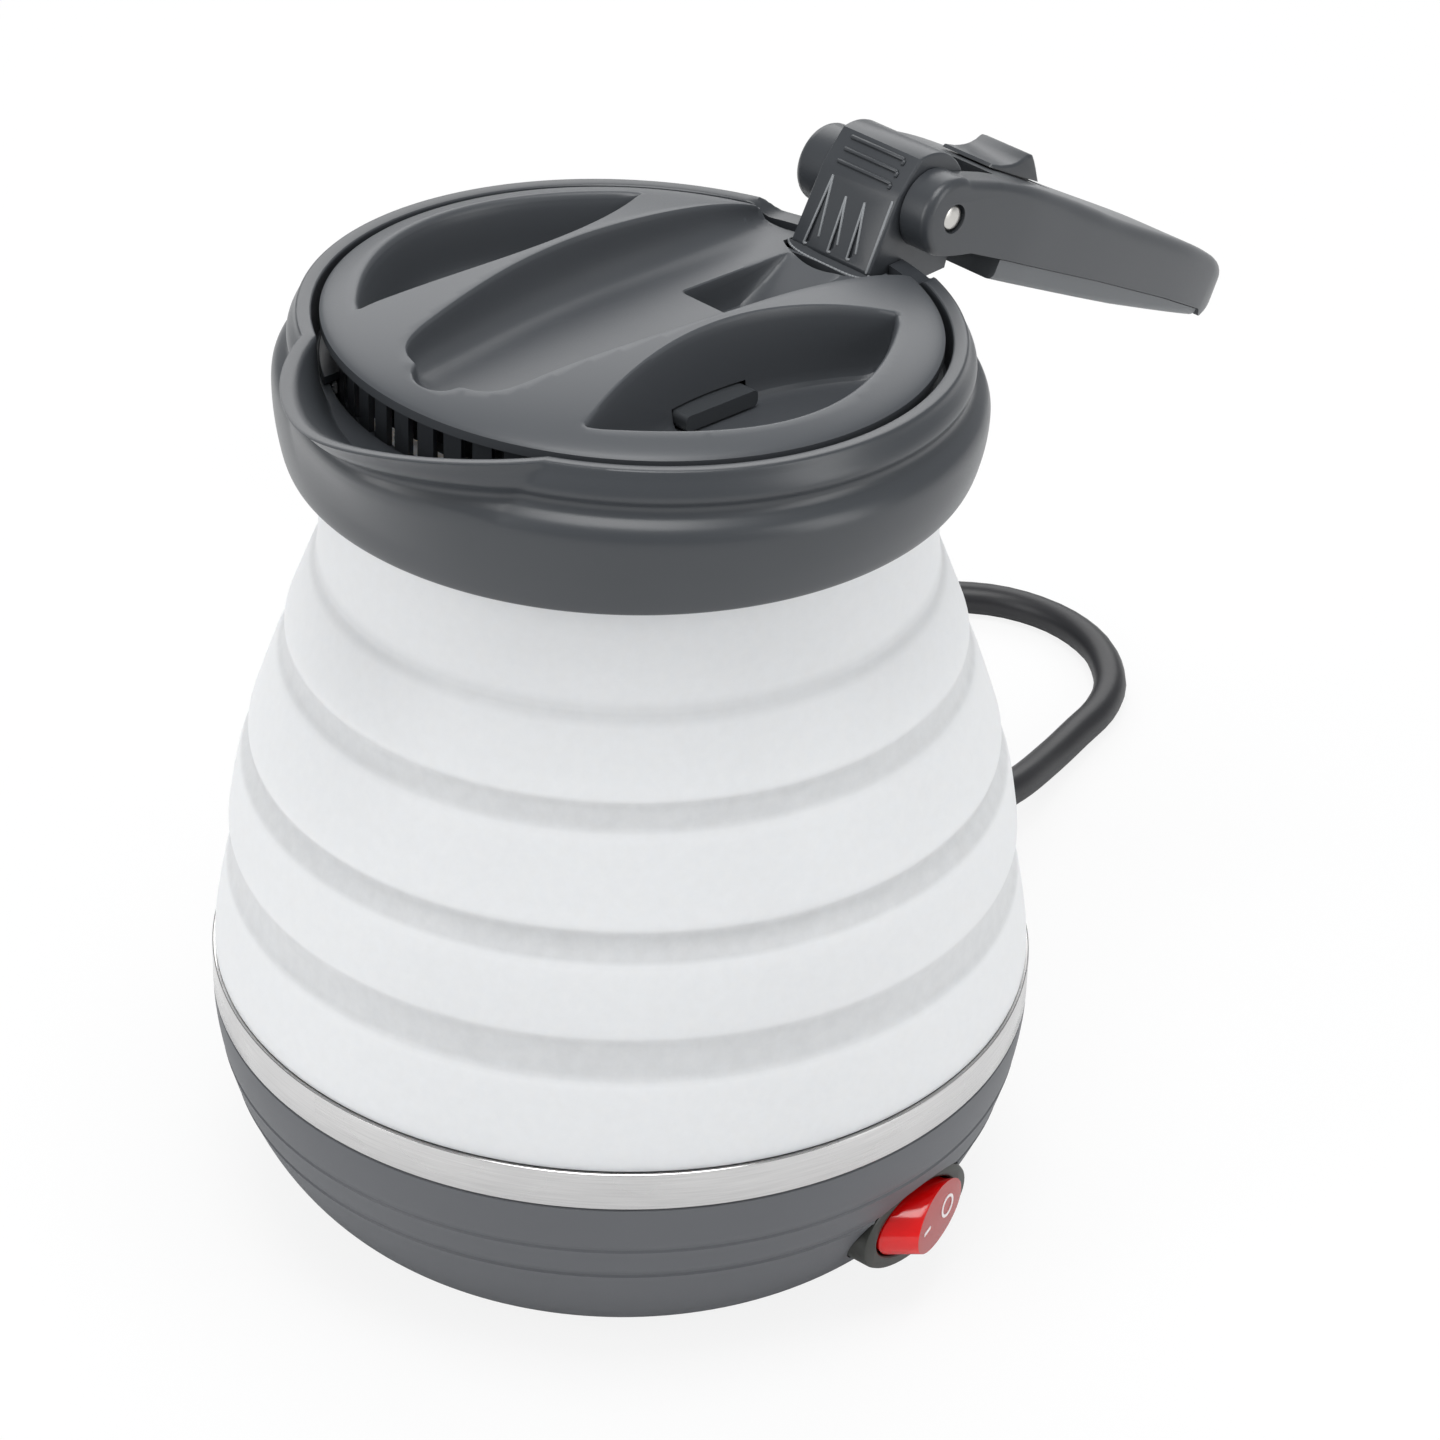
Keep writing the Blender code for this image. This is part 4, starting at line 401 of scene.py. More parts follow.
# Nickel keeps faint turning marks from the lathe, 0.2 mm apart and drawn at 0.5 mm.
nickel_plate = bare_metal("bright_nickel_plate", "#cdc7b8", 0.0005, 2.0, 0.16, 0.3)
plug_pin = extruded_rings("plug_pin_right", in_metres(PIN_OUTLINE), 32)
plug_pin.data.materials.append(nickel_plate)
smooth_over(plug_pin)
other_pin = copy_piece(plug_pin, "plug_pin_left")
for pin, side, node in ((plug_pin, 1, "plug_pin_1"), (other_pin, -1, "plug_pin_2")):
    pin.data.transform(plug_place @ Matrix.Translation((0.0, side * PIN_SPREAD, 0.0)))
    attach(pin, "base")
    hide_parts(node)
cord_length = sum((end - start).length for start, end in zip(cord_line, cord_line[1:]))

# Base shell: the rounded bowl that holds the switch and the heater, injection moulded in mid grey ABS.
# Its neck carries the steel band. Two fine parting lines of the mould run round it.
BASE_RADIUS = 0.074
BASE_TOP = 0.0385
BASE_FOOT_RADIUS = 0.0526
BASE_LIP_Z = 0.0005
BOWL_POWER = 1.7
BASE_WALL = 0.0026
NECK_RADIUS = 0.073
NECK_INNER_RADIUS = 0.0706
BAND_TOP = 0.0465
SHELF_TOP = 0.036
SWITCH_TURN = math.radians(4.5)
SWITCH_Z = 0.0165
BEZEL_HALF_LENGTH = 0.0145
BEZEL_HALF_HEIGHT = 0.0085


def bowl_radius(height):
    """The bowl's outside radius at a height: a bulging curve from the foot to the neck."""
    depth = min((BASE_TOP - height) / (BASE_TOP - BASE_LIP_Z), 1.0)
    bulge = (1.0 - depth ** BOWL_POWER) ** (1.0 / BOWL_POWER)
    return BASE_FOOT_RADIUS + (BASE_RADIUS - BASE_FOOT_RADIUS) * bulge


SWITCH_FACE = bowl_radius(SWITCH_Z) + 0.0015
SHELF_HOLE_RADIUS = 0.064
SHELF_UNDER = SHELF_TOP - 0.0022
neck_top = BAND_TOP - 0.0003
bowl_outline = [(NECK_INNER_RADIUS, SHELF_TOP), (NECK_INNER_RADIUS, neck_top), (NECK_RADIUS, neck_top),
                (NECK_RADIUS, BASE_TOP), (BASE_RADIUS - 0.0004, BASE_TOP),
                (BASE_RADIUS - 0.0001, BASE_TOP - 0.0002)]
BOWL_ROWS = 40
# The moulded surface stands this far inside the CAD bowl, and each parting line is a groove in it,
# given by rises and depths in metres.
BOWL_SKIN = 0.00002
PARTING_LINES = (0.0288, 0.022)
PARTING_GROOVE = ((0.0004, 0.00002), (0.00012, 0.00022), (-0.00012, 0.00022), (-0.0004, 0.00002))
for row in range(1, BOWL_ROWS + 1):
    angle = math.pi / 2 * row / BOWL_ROWS
    level = BASE_TOP - (BASE_TOP - BASE_LIP_Z) * math.sin(angle)
    for line_level in PARTING_LINES:
        if bowl_outline[-1][1] > line_level > level:
            bowl_outline += [(bowl_radius(line_level) - drop, line_level + rise)
                             for rise, drop in PARTING_GROOVE]
    bowl_outline.append((bowl_radius(level) - BOWL_SKIN, level))
foot_inside = BASE_FOOT_RADIUS - BASE_WALL
bowl_outline += [(foot_inside + 0.0005, BASE_LIP_Z), (foot_inside + 0.0003, 0.0008),
                 (foot_inside + 0.0003, 0.0025)]
INSIDE_ROWS = 8
INSIDE_START_Z = 0.003
for row in range(INSIDE_ROWS + 1):
    level = INSIDE_START_Z + (SHELF_UNDER - INSIDE_START_Z) * row / INSIDE_ROWS
    bowl_outline.append((bowl_radius(level) - BASE_WALL, level))
bowl_outline += [(SHELF_HOLE_RADIUS, SHELF_UNDER), (SHELF_HOLE_RADIUS, SHELF_TOP),
                 (NECK_INNER_RADIUS, SHELF_TOP)]
base_bowl = extruded_rings("base_bowl", bowl_outline, 180)


def apply_modifier(piece, kind, **settings):
    """Adds a modifier with its settings to a piece, and applies it."""
    change = piece.modifiers.new(kind.lower(), kind)
    for name, value in settings.items():
        setattr(change, name, value)
    pick(piece)
    bpy.ops.object.modifier_apply(modifier=change.name)


def combine(piece, other, operation):
    """Cuts one piece with another or joins the two by an exact Boolean, and removes the other."""
    apply_modifier(piece, "BOOLEAN", operation=operation, solver="EXACT", object=other)
    bpy.data.objects.remove(other)


def cut_away(piece, tool):
    combine(piece, tool, "DIFFERENCE")
    return piece


def round_bar(steps, radius, depth, place):
    """A round bar, made upright and then put in its place."""
    deselect()
    bpy.ops.mesh.primitive_cylinder_add(vertices=steps, radius=radius, depth=depth)
    tool = bpy.context.object
    tool.data.transform(place)
    return tool


OPENING_GAP = 0.0002
opening_half_length = BEZEL_HALF_LENGTH + OPENING_GAP
opening_half_height = BEZEL_HALF_HEIGHT + OPENING_GAP
switch_turned = Matrix.Rotation(SWITCH_TURN, 4, "Z")
cut_away(base_bowl, round_bar(
    72, 1.0, 1.0, switch_turned @ Matrix.Translation((0.0, -SWITCH_FACE + 0.004, SWITCH_Z))
    @ Matrix.Diagonal((opening_half_length, 0.02, opening_half_height, 1.0)) @ UPRIGHT_TO_Y))
cut_away(base_bowl, round_bar(
    48, 0.0059, 0.02, gland_place @ Matrix.Translation((0.066, 0.0, 0.0)) @ UPRIGHT_TO_X))
smooth_over(base_bowl)


def moulded_abs(name, colour, lit_colour, roughness, grain_mm=0.35):
    """Injection-moulded ABS: an even colour that clouds very slightly, over a spark-eroded satin grain."""
    material, tree, shader, place, _ = cloudy_finish(name, {"IOR": 1.53}, colour, lit_colour, 0.03)
    grain = add_node(tree, "ShaderNodeTexNoise", {"Scale": 1000 / grain_mm, "Detail": 3.0, "Roughness": 0.6},
                     Vector=place)
    sheen = add_node(tree, "ShaderNodeMapRange", {"To Min": roughness - 0.05, "To Max": roughness + 0.05},
                     Value=grain.outputs["Fac"])
    tree.links.new(sheen.outputs[0], shader.inputs["Roughness"])
    bump = add_node(tree, "ShaderNodeBump", {"Strength": 0.12, "Distance": 0.00008},
                    Height=grain.outputs["Fac"])
    tree.links.new(bump.outputs["Normal"], shader.inputs["Normal"])
    return material


# The grain of a satin mould is about 0.1 mm; it is drawn at 0.35 mm so that it shows.
mid_grey_abs = moulded_abs("moulded_mid_grey_abs", "#5a5c60", "#5f6165", 0.5)
base_bowl.data.materials.append(mid_grey_abs)
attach(base_bowl, "base")
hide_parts("base_shell")

# Bottom cover, feet and screws: a flat ABS disc, four rubber feet pressed into it and three steel screws.
# The cover and the screws keep their CAD shapes, and so do the heater parts above them.
FOOT_OUTLINE = ((3.6, -1.5), (4.6, -1.45), (5.1, -1.2), (5.4, -0.8), (5.5, -0.3), (5.5, 1.2))


def finish_node(node, material):
    """Gives a CAD solid that stays its finish."""
    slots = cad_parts[node].data.materials
    slots.clear()
    slots.append(material)


finish_node("base_cover", mid_grey_abs)
# The grain of the feet is drawn at 0.5 mm so that it shows.
foot_rubber = moulded_rubber("moulded_foot_rubber", "#232323", 0.85, 1.5, 0.0005, 0.3)
rubber_foot = extruded_rings("rubber_foot", in_metres(FOOT_OUTLINE), 40)
smooth_over(rubber_foot)
rubber_foot.data.materials.append(foot_rubber)
for index in (1, 2, 3, 4):
    node = "foot_%d" % index
    low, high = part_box(node)
    foot = copy_piece(rubber_foot, "rubber_foot_%d" % index)
    foot.data.transform(Matrix.Translation(((low.x + high.x) / 2, (low.y + high.y) / 2, 0.0)))
    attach(foot, "base")
    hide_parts(node)
bpy.data.objects.remove(rubber_foot)

# Drawn steel has dull patches 4 mm across, and pressed phenolic a mottle of its filler 1 mm across.
turned_steel = bare_metal("drawn_stainless_steel", "#c8c6c2", 0.004, 4.0, 0.22, 0.38)
brown_phenolic = cloudy_finish(
    "pressed_brown_phenolic", {"Roughness": 0.6}, "#33261d", "#473528", 0.001, 4.0)[0]
for node in ("base_screw_1", "base_screw_2", "base_screw_3", "heating_plate", "heating_element"):
    finish_node(node, turned_steel)
finish_node("thermostat", brown_phenolic)
finish_node("thermal_fuse", nickel_plate)

# Steel band: a strip of stainless steel rolled round the neck, brushed along its length.
# Its edges are rolled over, and a thin dark joint shows above and below it.
BAND_OUTLINE = ((73.3, 38.8), (73.75, 38.8), (73.92, 38.9), (74.0, 39.1), (74.0, 45.9), (73.92, 46.1),
                (73.75, 46.2), (73.3, 46.2), (73.3, 38.8))
steel_band = extruded_rings("brushed_band", in_metres(BAND_OUTLINE), 180)
smooth_over(steel_band)
brushed_steel, brush_tree, brush_shader = new_material("circular_brushed_stainless", {"Metallic": 1.0})
brush_place = add_node(brush_tree, "ShaderNodeTexCoord")
brush_split = add_node(brush_tree, "ShaderNodeSeparateXYZ", Vector=brush_place.outputs["Object"])
brush_turn = add_node(brush_tree, "ShaderNodeMath", {"operation": "ARCTAN2"},
                      _0=brush_split.outputs["Y"], _1=brush_split.outputs["X"])
brush_around = add_node(brush_tree, "ShaderNodeMath", {"operation": "MULTIPLY", 1: BASE_RADIUS},
                        _0=brush_turn.outputs[0])
# Brush lines are about 0.1 mm apart and 12 mm long; they are drawn at 0.3 mm so that they show.
brush_grid = add_node(brush_tree, "ShaderNodeCombineXYZ",
                      X=brush_around.outputs[0], Z=brush_split.outputs["Z"])
brush_scale = add_node(brush_tree, "ShaderNodeMapping", {"Scale": (1 / 0.012, 1.0, 1 / 0.0003)},
                       Vector=brush_grid.outputs[0])
brush_lines = add_node(brush_tree, "ShaderNodeTexNoise", {"Scale": 1.0, "Detail": 3.0},
                       Vector=brush_scale.outputs[0])
brush_tone = add_node(brush_tree, "ShaderNodeMix",
                      {"data_type": "RGBA", 6: linear("#b9b8b8"), 7: linear("#dddcdb")},
                      Factor=brush_lines.outputs["Fac"])
brush_tree.links.new(brush_tone.outputs[2], brush_shader.inputs["Base Color"])
# The brushing lies in patches about 25 mm long, some brighter than others.
brush_patch = add_node(brush_tree, "ShaderNodeMapping", {"Scale": (1 / 0.025, 1.0, 1 / 0.012)},
                       Vector=brush_grid.outputs[0])
brush_patches = add_node(brush_tree, "ShaderNodeTexNoise", {"Scale": 1.0, "Detail": 1.0},
                         Vector=brush_patch.outputs[0])
brush_rough = add_node(brush_tree, "ShaderNodeMapRange",
                       {"From Min": 0.35, "From Max": 0.65, "To Min": 0.1, "To Max": 0.36},
                       Value=brush_patches.outputs["Fac"])
brush_tree.links.new(brush_rough.outputs[0], brush_shader.inputs["Roughness"])
# The rolled strip isn't quite even, which breaks its reflections up.
brush_wave = add_node(brush_tree, "ShaderNodeBump", {"Strength": 0.5, "Distance": 0.0012},
                      Height=brush_patches.outputs["Fac"])
brush_bump = add_node(brush_tree, "ShaderNodeBump", {"Strength": 0.12, "Distance": 0.00005},
                      Height=brush_lines.outputs["Fac"], Normal=brush_wave.outputs["Normal"])
brush_tree.links.new(brush_bump.outputs["Normal"], brush_shader.inputs["Normal"])
steel_band.data.materials.append(brushed_steel)
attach(steel_band, "base")
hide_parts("steel_band")

# Silicone wall: the vessel's side, moulded in milky silicone in five rings that fold into each other.
# Its foot is a bead held in the neck, and its top is a cuff trapped in the collar, which leans to the hinge.
COLLAR_Z = 0.148
TILT = 0.052
TILT_RISE = 0.012
WALL_THICKNESS = 0.002
WALL_OUTLINE = (
    (73.3, 46.5), (73.4, 46.9), (73.3, 50.0), (72.6, 55.0), (71.7, 60.0), (71.2, 62.3), (70.8, 63.4),
    (70.25, 64.3), (69.95, 66.0), (69.75, 68.5), (69.8, 70.2), (70.1, 71.1), (70.35, 72.0), (70.3, 73.5),
    (69.95, 76.0), (69.2, 80.5), (68.4, 84.2), (67.9, 85.4), (67.35, 86.3), (66.6, 87.6), (66.15, 89.0),
    (66.2, 90.0), (66.45, 90.8), (66.4, 92.0), (65.6, 94.6), (63.9, 99.6), (62.2, 104.4), (61.2, 106.6),
    (60.4, 107.7), (59.9, 109.0), (59.55, 110.5), (59.6, 111.4), (59.75, 112.2), (59.5, 113.4), (58.4, 116.2),
    (57.0, 119.8), (55.5, 123.6), (54.8, 124.9), (54.3, 125.7), (54.05, 126.8), (53.8, 128.4), (53.6, 131.0),
    (53.3, 136.0), (53.0, 142.0), (52.75, 148.0), (52.6, 151.0), (52.6, 153.4),
)


def spline_through(points, steps=3):
    """Reads a Catmull-Rom curve through (radius, height) points, a few steps to each span."""
    padded = [points[0]] + list(points) + [points[-1]]
    smooth_points = []
    for spans in zip(padded, padded[1:], padded[2:], padded[3:]):
        for step in range(steps):
            t = step / steps
            smooth_points.append(tuple(
                0.5 * (2 * b + (c - a) * t + (2 * a - 5 * b + 4 * c - d) * t ** 2
                       + (3 * b - a - 3 * c + d) * t ** 3) for a, b, c, d in zip(*spans)))
    return smooth_points + [tuple(points[-1])]


def lean(piece):
    """Leans the top levels with the rim, which is higher at the spout than at the hinge."""
    for vertex in piece.data.vertices:
        rise = min(max((vertex.co.z - COLLAR_Z) / TILT_RISE, 0.0), 1.0)
        vertex.co.z -= TILT * vertex.co.x * rise
    return piece


BEAD_INNER_Z = 0.0468
wall_outer = spline_through(in_metres(WALL_OUTLINE), 2)
wall_inner = [(radius - WALL_THICKNESS, level) for radius, level in wall_outer[::-1]]
wall_inner[-1] = (wall_inner[-1][0], BEAD_INNER_Z)
silicone_wall = extruded_rings("silicone_wall_rings", wall_outer + wall_inner + [wall_outer[0]], 192)
# The bands that fold are painted a little greyer: painted shade for the steps between the rings. How far each
# point belongs to one is kept on the mesh, and folds with it. Each band has its foot and its top in mm and
# how grey it is, and fades out over 1.4 mm.
SHADED_FOLD_BANDS = ((63.4, 71.3, 0.85), (85.6, 90.6, 1.0), (107.2, 112.0, 0.9), (124.6, 127.2, 0.4))
BAND_FADE = 1.4
BAND_SPREAD = 1.0
fold_band = silicone_wall.data.attributes.new("fold_band", "FLOAT", "POINT")
for vertex in silicone_wall.data.vertices:
    level = vertex.co.z * 1000
    fold_band.data[vertex.index].value = max(
        grey * ease((level - low + BAND_SPREAD) / BAND_FADE) * ease((high - level + BAND_SPREAD) / BAND_FADE)
        for low, high, grey in SHADED_FOLD_BANDS)
lean(silicone_wall)
smooth_over(silicone_wall, 60)

# Milky platinum-cured silicone: light soaks in and spreads a few millimetres, so its steps glow softly.
# The folded bands are painted greyer, a painted shade for their steps, mottled like a frosted bloom 1 to 3 mm
# across.
milky_silicone, milk_tree, milk_shader = new_material("milky_moulded_silicone", {
    "IOR": 1.41, "Subsurface Weight": 0.8, "Subsurface Radius": (1.0, 0.95, 0.9), "Subsurface Scale": 0.003})
milk_place = add_node(milk_tree, "ShaderNodeTexCoord")
milk_cloud = add_node(milk_tree, "ShaderNodeTexNoise", {"Scale": 1 / 0.002, "Detail": 4.0, "Roughness": 0.6},
                      Vector=milk_place.outputs["Object"])
milk_tone = add_node(milk_tree, "ShaderNodeMix",
                     {"data_type": "RGBA", 6: linear("#e8e9ea"), 7: linear("#eff0f1")},
                     Factor=milk_cloud.outputs["Fac"])
milk_shade_band = add_node(milk_tree, "ShaderNodeAttribute", {"attribute_name": "fold_band"})
milk_frost = add_node(milk_tree, "ShaderNodeTexNoise", {"Scale": 1 / 0.003, "Detail": 3.0, "Roughness": 0.6},
                      Vector=milk_place.outputs["Object"])
milk_share = add_node(milk_tree, "ShaderNodeMapRange",
                      {"From Min": 0.3, "From Max": 0.7, "To Min": 0.7, "To Max": 1.0},
                      Value=milk_frost.outputs["Fac"])
milk_fold_shade = add_node(milk_tree, "ShaderNodeMath", {"operation": "MULTIPLY"},
                     _0=milk_shade_band.outputs["Fac"], _1=milk_share.outputs[0])
# Painted shade: the fold bands are greyed here, in a frosted mottle.
milk_painted_shade = add_node(milk_tree, "ShaderNodeMix", {"data_type": "RGBA", 7: linear("#d4d5d6")},
                     Factor=milk_fold_shade.outputs[0], _6=milk_tone.outputs[2])
milk_tree.links.new(milk_painted_shade.outputs[2], milk_shader.inputs["Base Color"])
milk_rough = add_node(milk_tree, "ShaderNodeMapRange", {"To Min": 0.38, "To Max": 0.5},
                      Value=milk_cloud.outputs["Fac"])
milk_tree.links.new(milk_rough.outputs[0], milk_shader.inputs["Roughness"])
silicone_wall.data.materials.append(milky_silicone)
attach(silicone_wall, "base")
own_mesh(silicone_wall)
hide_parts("silicone_wall")

# Collar: the moulded ABS rim over the silicone, with a gutter round it, a ledge for the lid and the spout.
# It snaps over the clamp ring below; at the hinge its rim is dipped for the ears of the handle.
RIM_Z = 0.1708
PIN_X = 0.0625
PIN_Z = 0.1741
BLOCK_HALF_WIDTH = 0.0094
SPOUT_REACH = 0.0157
SPOUT_DEGREES = 31
SPOUT_START_Z = 0.152
SPOUT_NARROWING = 0.5
LEDGE_BORE_RADIUS = 0.0517
COLLAR_TOP = (
    (54.0, 14.0), (54.0, 21.9), (54.03, 22.3), (54.14, 22.6), (54.34, 22.78), (54.6, 22.86), (55.2, 22.92),
    (55.9, 22.98), (56.25, 22.96), (56.5, 22.86), (56.68, 22.68),
)
COLLAR_SIDE = (
    (56.8, 22.42), (57.1, 21.6), (57.5, 20.8), (57.95, 19.9), (58.25, 19.0), (58.3, 18.35), (58.1, 17.7),
    (57.82, 17.1), (57.72, 16.5), (57.85, 15.8), (58.3, 15.1), (59.0, 14.5), (59.75, 13.85), (60.35, 13.1),
    (60.75, 12.2), (60.95, 11.2), (61.0, 10.0), (60.95, 8.4), (60.8, 6.6), (60.55, 4.8), (60.2, 3.0),
    (59.85, 1.5), (59.55, 0.55), (59.25, -0.05), (58.95, -0.32), (58.6, -0.4), (58.3, -0.3), (58.12, 0.0),
    (58.1, 0.5), (58.3, 3.0), (58.4, 5.2),
)
COLLAR_INSIDE = (
    (58.4, 9.3), (58.3, 9.9), (57.9, 10.5), (57.1, 10.8), (51.9, 10.8), (51.7, 11.0), (51.7, 13.0),
    (51.9, 13.2), (53.6, 13.2), (53.9, 13.4), (54.0, 14.0),
)
collar_outline = list(COLLAR_TOP) + spline_through(COLLAR_SIDE, 3) + list(COLLAR_INSIDE)
collar = extruded_rings("collar_rim", [(r / 1000, COLLAR_Z + z / 1000) for r, z in collar_outline], 360)
# The spout is drawn out of the rim: most in its middle and at the top, and over a narrower arc lower down.
SPOUT_ROUNDING = 0.2
for vertex in collar.data.vertices:
    radius = math.hypot(vertex.co.x, vertex.co.y)
    swing = abs(math.degrees(math.atan2(vertex.co.y, -vertex.co.x))) / SPOUT_DEGREES
    lift = (vertex.co.z - SPOUT_START_Z) / (RIM_Z - SPOUT_START_Z)
    if radius > LEDGE_BORE_RADIUS + 0.0003 and swing < 1.0 and lift > 0.0:
        spread = 1.0 - (math.hypot(swing, SPOUT_ROUNDING) - SPOUT_ROUNDING) / (
            math.hypot(1.0, SPOUT_ROUNDING) - SPOUT_ROUNDING)
        lift = min(lift, 1.0)
        push = SPOUT_REACH * max(0.0, spread - SPOUT_NARROWING * (1.0 - lift)) * lift ** 1.5
        vertex.co.x *= (radius + push) / radius
        vertex.co.y *= (radius + push) / radius
lean(collar)
# The dip for the ears is flat, and its two ends rise by 3 mm over 5.5 mm.
EAR_DIP_Z = PIN_Z - 0.0081
EAR_DIP_FLAT = 0.0172
EAR_DIP_END = 0.024
for vertex in collar.data.vertices:
    if vertex.co.x > 0.0 and abs(vertex.co.y) < EAR_DIP_END:
        ceiling = EAR_DIP_Z + 0.003 * ease((abs(vertex.co.y) - EAR_DIP_FLAT) / 0.0055)
        if vertex.co.z > ceiling:
            vertex.co.z = ceiling - 0.02 * (vertex.co.z - ceiling)


def cutting_box(low, high):
    """A box from corner to corner, to cut with or to build on."""
    deselect()
    bpy.ops.mesh.primitive_cube_add(size=1.0, location=[(a + b) / 2 for a, b in zip(low, high)])
    tool = bpy.context.object
    tool.scale = [b - a for a, b in zip(low, high)]
    bpy.ops.object.transform_apply()
    return tool


block_gap = BLOCK_HALF_WIDTH + 0.0002
cut_away(collar, cutting_box((0.045, -block_gap, 0.1602), (0.07, block_gap, 0.18)))
smooth_over(collar, 24)
# The upper mouldings are a darker, bluer grey than the base, with the same satin grain.
dark_grey_abs = moulded_abs("moulded_dark_grey_abs", "#3b3e42", "#414448", 0.33)
collar.data.materials.append(dark_grey_abs)
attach(collar, "top")
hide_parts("collar")
finish_node("clamp_ring", dark_grey_abs)

# Lid skirt: the strainer wall under the lid, with a flange that rests on the collar's ledge and slots for
# the water. It is a separate moulding, snapped up into the lid's rim; the flange stops short at the spout.
LID_RADIUS = 0.0527
NOTCH_X = 0.0472
NOTCH_HALF_WIDTH = 0.0103
NOTCH_BOW = 0.0034
FLOW_X = -0.0395
FLOW_HALF_WIDTH = 0.027
SKIRT_RADIUS = 0.0502
SKIRT_OUTLINE = (
    (49.1, 158.2), (50.0, 158.2), (50.2, 158.4), (50.2, 161.5), (52.8, 161.5), (53.0, 161.7), (53.0, 162.7),
    (52.8, 162.9), (50.2, 162.9), (50.2, 168.7), (49.1, 168.7), (49.1, 158.2),
)
SLOTS = 9
SLOT_TURN = math.radians(6.6)


def notch_box():
    """Cuts a ring of the lid at the hinge, where the block's toe comes down."""
    return cutting_box((NOTCH_X, -NOTCH_HALF_WIDTH, 0.15), (0.06, NOTCH_HALF_WIDTH, 0.18))


def flow_box(low, high):
    """Cuts a ring of the lid at the spout, where the water runs out."""
    return cutting_box((-0.06, -FLOW_HALF_WIDTH, low), (FLOW_X, FLOW_HALF_WIDTH, high))


lid_skirt = extruded_rings("strainer_skirt", in_metres(SKIRT_OUTLINE), 180)
cut_away(lid_skirt, notch_box())
cut_away(lid_skirt, cut_away(
    flow_box(0.1601, 0.1635), round_bar(180, SKIRT_RADIUS, 0.03, Matrix.Translation((0.0, 0.0, 0.16)))))
for index in range(SLOTS):
    slot = cutting_box((-0.0515, -0.0011, 0.1594), (-0.0480, 0.0011, 0.1676))
    slot.data.transform(Matrix.Rotation(SLOT_TURN * (index - SLOTS // 2), 4, "Z"))
    cut_away(lid_skirt, slot)
lean(lid_skirt)
smooth_over(lid_skirt, 25)
lid_skirt.data.materials.append(dark_grey_abs)
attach(lid_skirt, "lid")
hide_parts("lid_skirt")

# Lid seal: a soft grey silicone ring with two lips, pressed on under the flange.
# It stops short with the flange at the spout, so that the water gets out there.
SEAL_OUTLINE = (
    (50.5, 160.9), (51.0, 160.9), (51.4, 160.75), (51.35, 160.5), (51.0, 160.35), (50.95, 160.15),
    (51.1, 159.95), (51.4, 159.75), (51.35, 159.5), (51.0, 159.15), (50.5, 159.1), (50.5, 160.9),
)
lid_seal = extruded_rings("lid_seal_ring", in_metres(SEAL_OUTLINE), 180)
cut_away(lid_seal, notch_box())
cut_away(lid_seal, flow_box(0.15, 0.18))
lean(lid_seal)
smooth_over(lid_seal, 40)
# Its silicone is cloudy in patches 2 mm across.
seal_silicone = cloudy_finish(
    "moulded_seal_silicone", {"IOR": 1.41, "Roughness": 0.5}, "#c4c5c6", "#d2d3d4", 0.002)[0]
lid_seal.data.materials.append(seal_silicone)
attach(lid_seal, "lid")
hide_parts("lid_seal")

# Lid cover: one thin domed ABS moulding with a hollow for the thumb and one for the finger, a trough that
# the folded handle lies in and a pocket in the trough for the handle's slider. Its surface is set out on a
# plan: lines run round each hollow at chosen distances from its edge, and take their levels from a profile.
DOME_HEIGHT = 0.008
LID_SHEET = 0.0017
RECESS_TIPS = ((-0.0372, 0.0272), (0.0318, 0.0308))
RECESS_INNER_Y = 0.0203
RECESS_OUTER_Y = 0.0458
RECESS_FLOOR_Z = RIM_Z - 0.0088
TROUGH_FLOOR_Z = RIM_Z - 0.003
POCKET_FLOOR_Z = RIM_Z - 0.00965
POCKET_RAMP_X = (0.0315, 0.0449)
DOME_POWER = 0.75
RECESS_BLEND = 0.005
RECESS_BLEND_START = 0.35
TROUGH_SIDE = (
    (-48.0, 0.0), (-47.8, 1.6), (-47.2, 3.1), (-46.2, 4.3), (-45.1, 4.9), (-44.4, 5.5), (-44.0, 6.7),
    (-43.4, 8.3), (-42.0, 10.2), (-39.8, 11.6), (-36.5, 12.6), (-33.0, 13.2), (-29.8, 13.8), (-24.0, 14.8),
    (-18.1, 15.8), (-12.0, 16.7), (-6.5, 17.3), (1.0, 17.9), (9.1, 18.2), (30.0, 18.2), (56.0, 18.2),
)
# Each profile gives, for a distance in mm inside the edge, how far down the side of the hollow has come.
SOFT_PROFILE = (
    (-1.5, 0.0), (-1.1, 0.012), (-0.7, 0.045), (-0.3, 0.105), (0.1, 0.2), (0.5, 0.33), (0.9, 0.48),
    (1.3, 0.63), (1.7, 0.76), (2.1, 0.86), (2.7, 0.94), (3.5, 0.985), (4.6, 1.0),
)
CRISP_PROFILE = (
    (-0.5, 0.0), (-0.25, 0.012), (-0.05, 0.05), (0.1, 0.14), (0.25, 0.32), (0.5, 0.6), (0.8, 0.8),
    (1.2, 0.92), (1.8, 0.975), (2.7, 1.0),
)
TROUGH_PROFILE = (
    (-0.6, 0.0), (-0.35, 0.012), (-0.12, 0.05), (0.03, 0.12), (0.15, 0.25), (0.3, 0.42), (0.6, 0.58),
    (1.0, 0.7), (1.6, 0.81), (2.4, 0.9), (3.4, 0.955), (4.5, 0.985), (5.6, 1.0),
)
POCKET_PROFILE = (
    (-0.4, 0.0), (-0.15, 0.03), (0.0, 0.1), (0.12, 0.3), (0.3, 0.62), (0.55, 0.84), (0.9, 0.95), (1.5, 1.0),
)
EDGE_SPACING = 0.0009
LINE_TOLERANCE = 0.00005


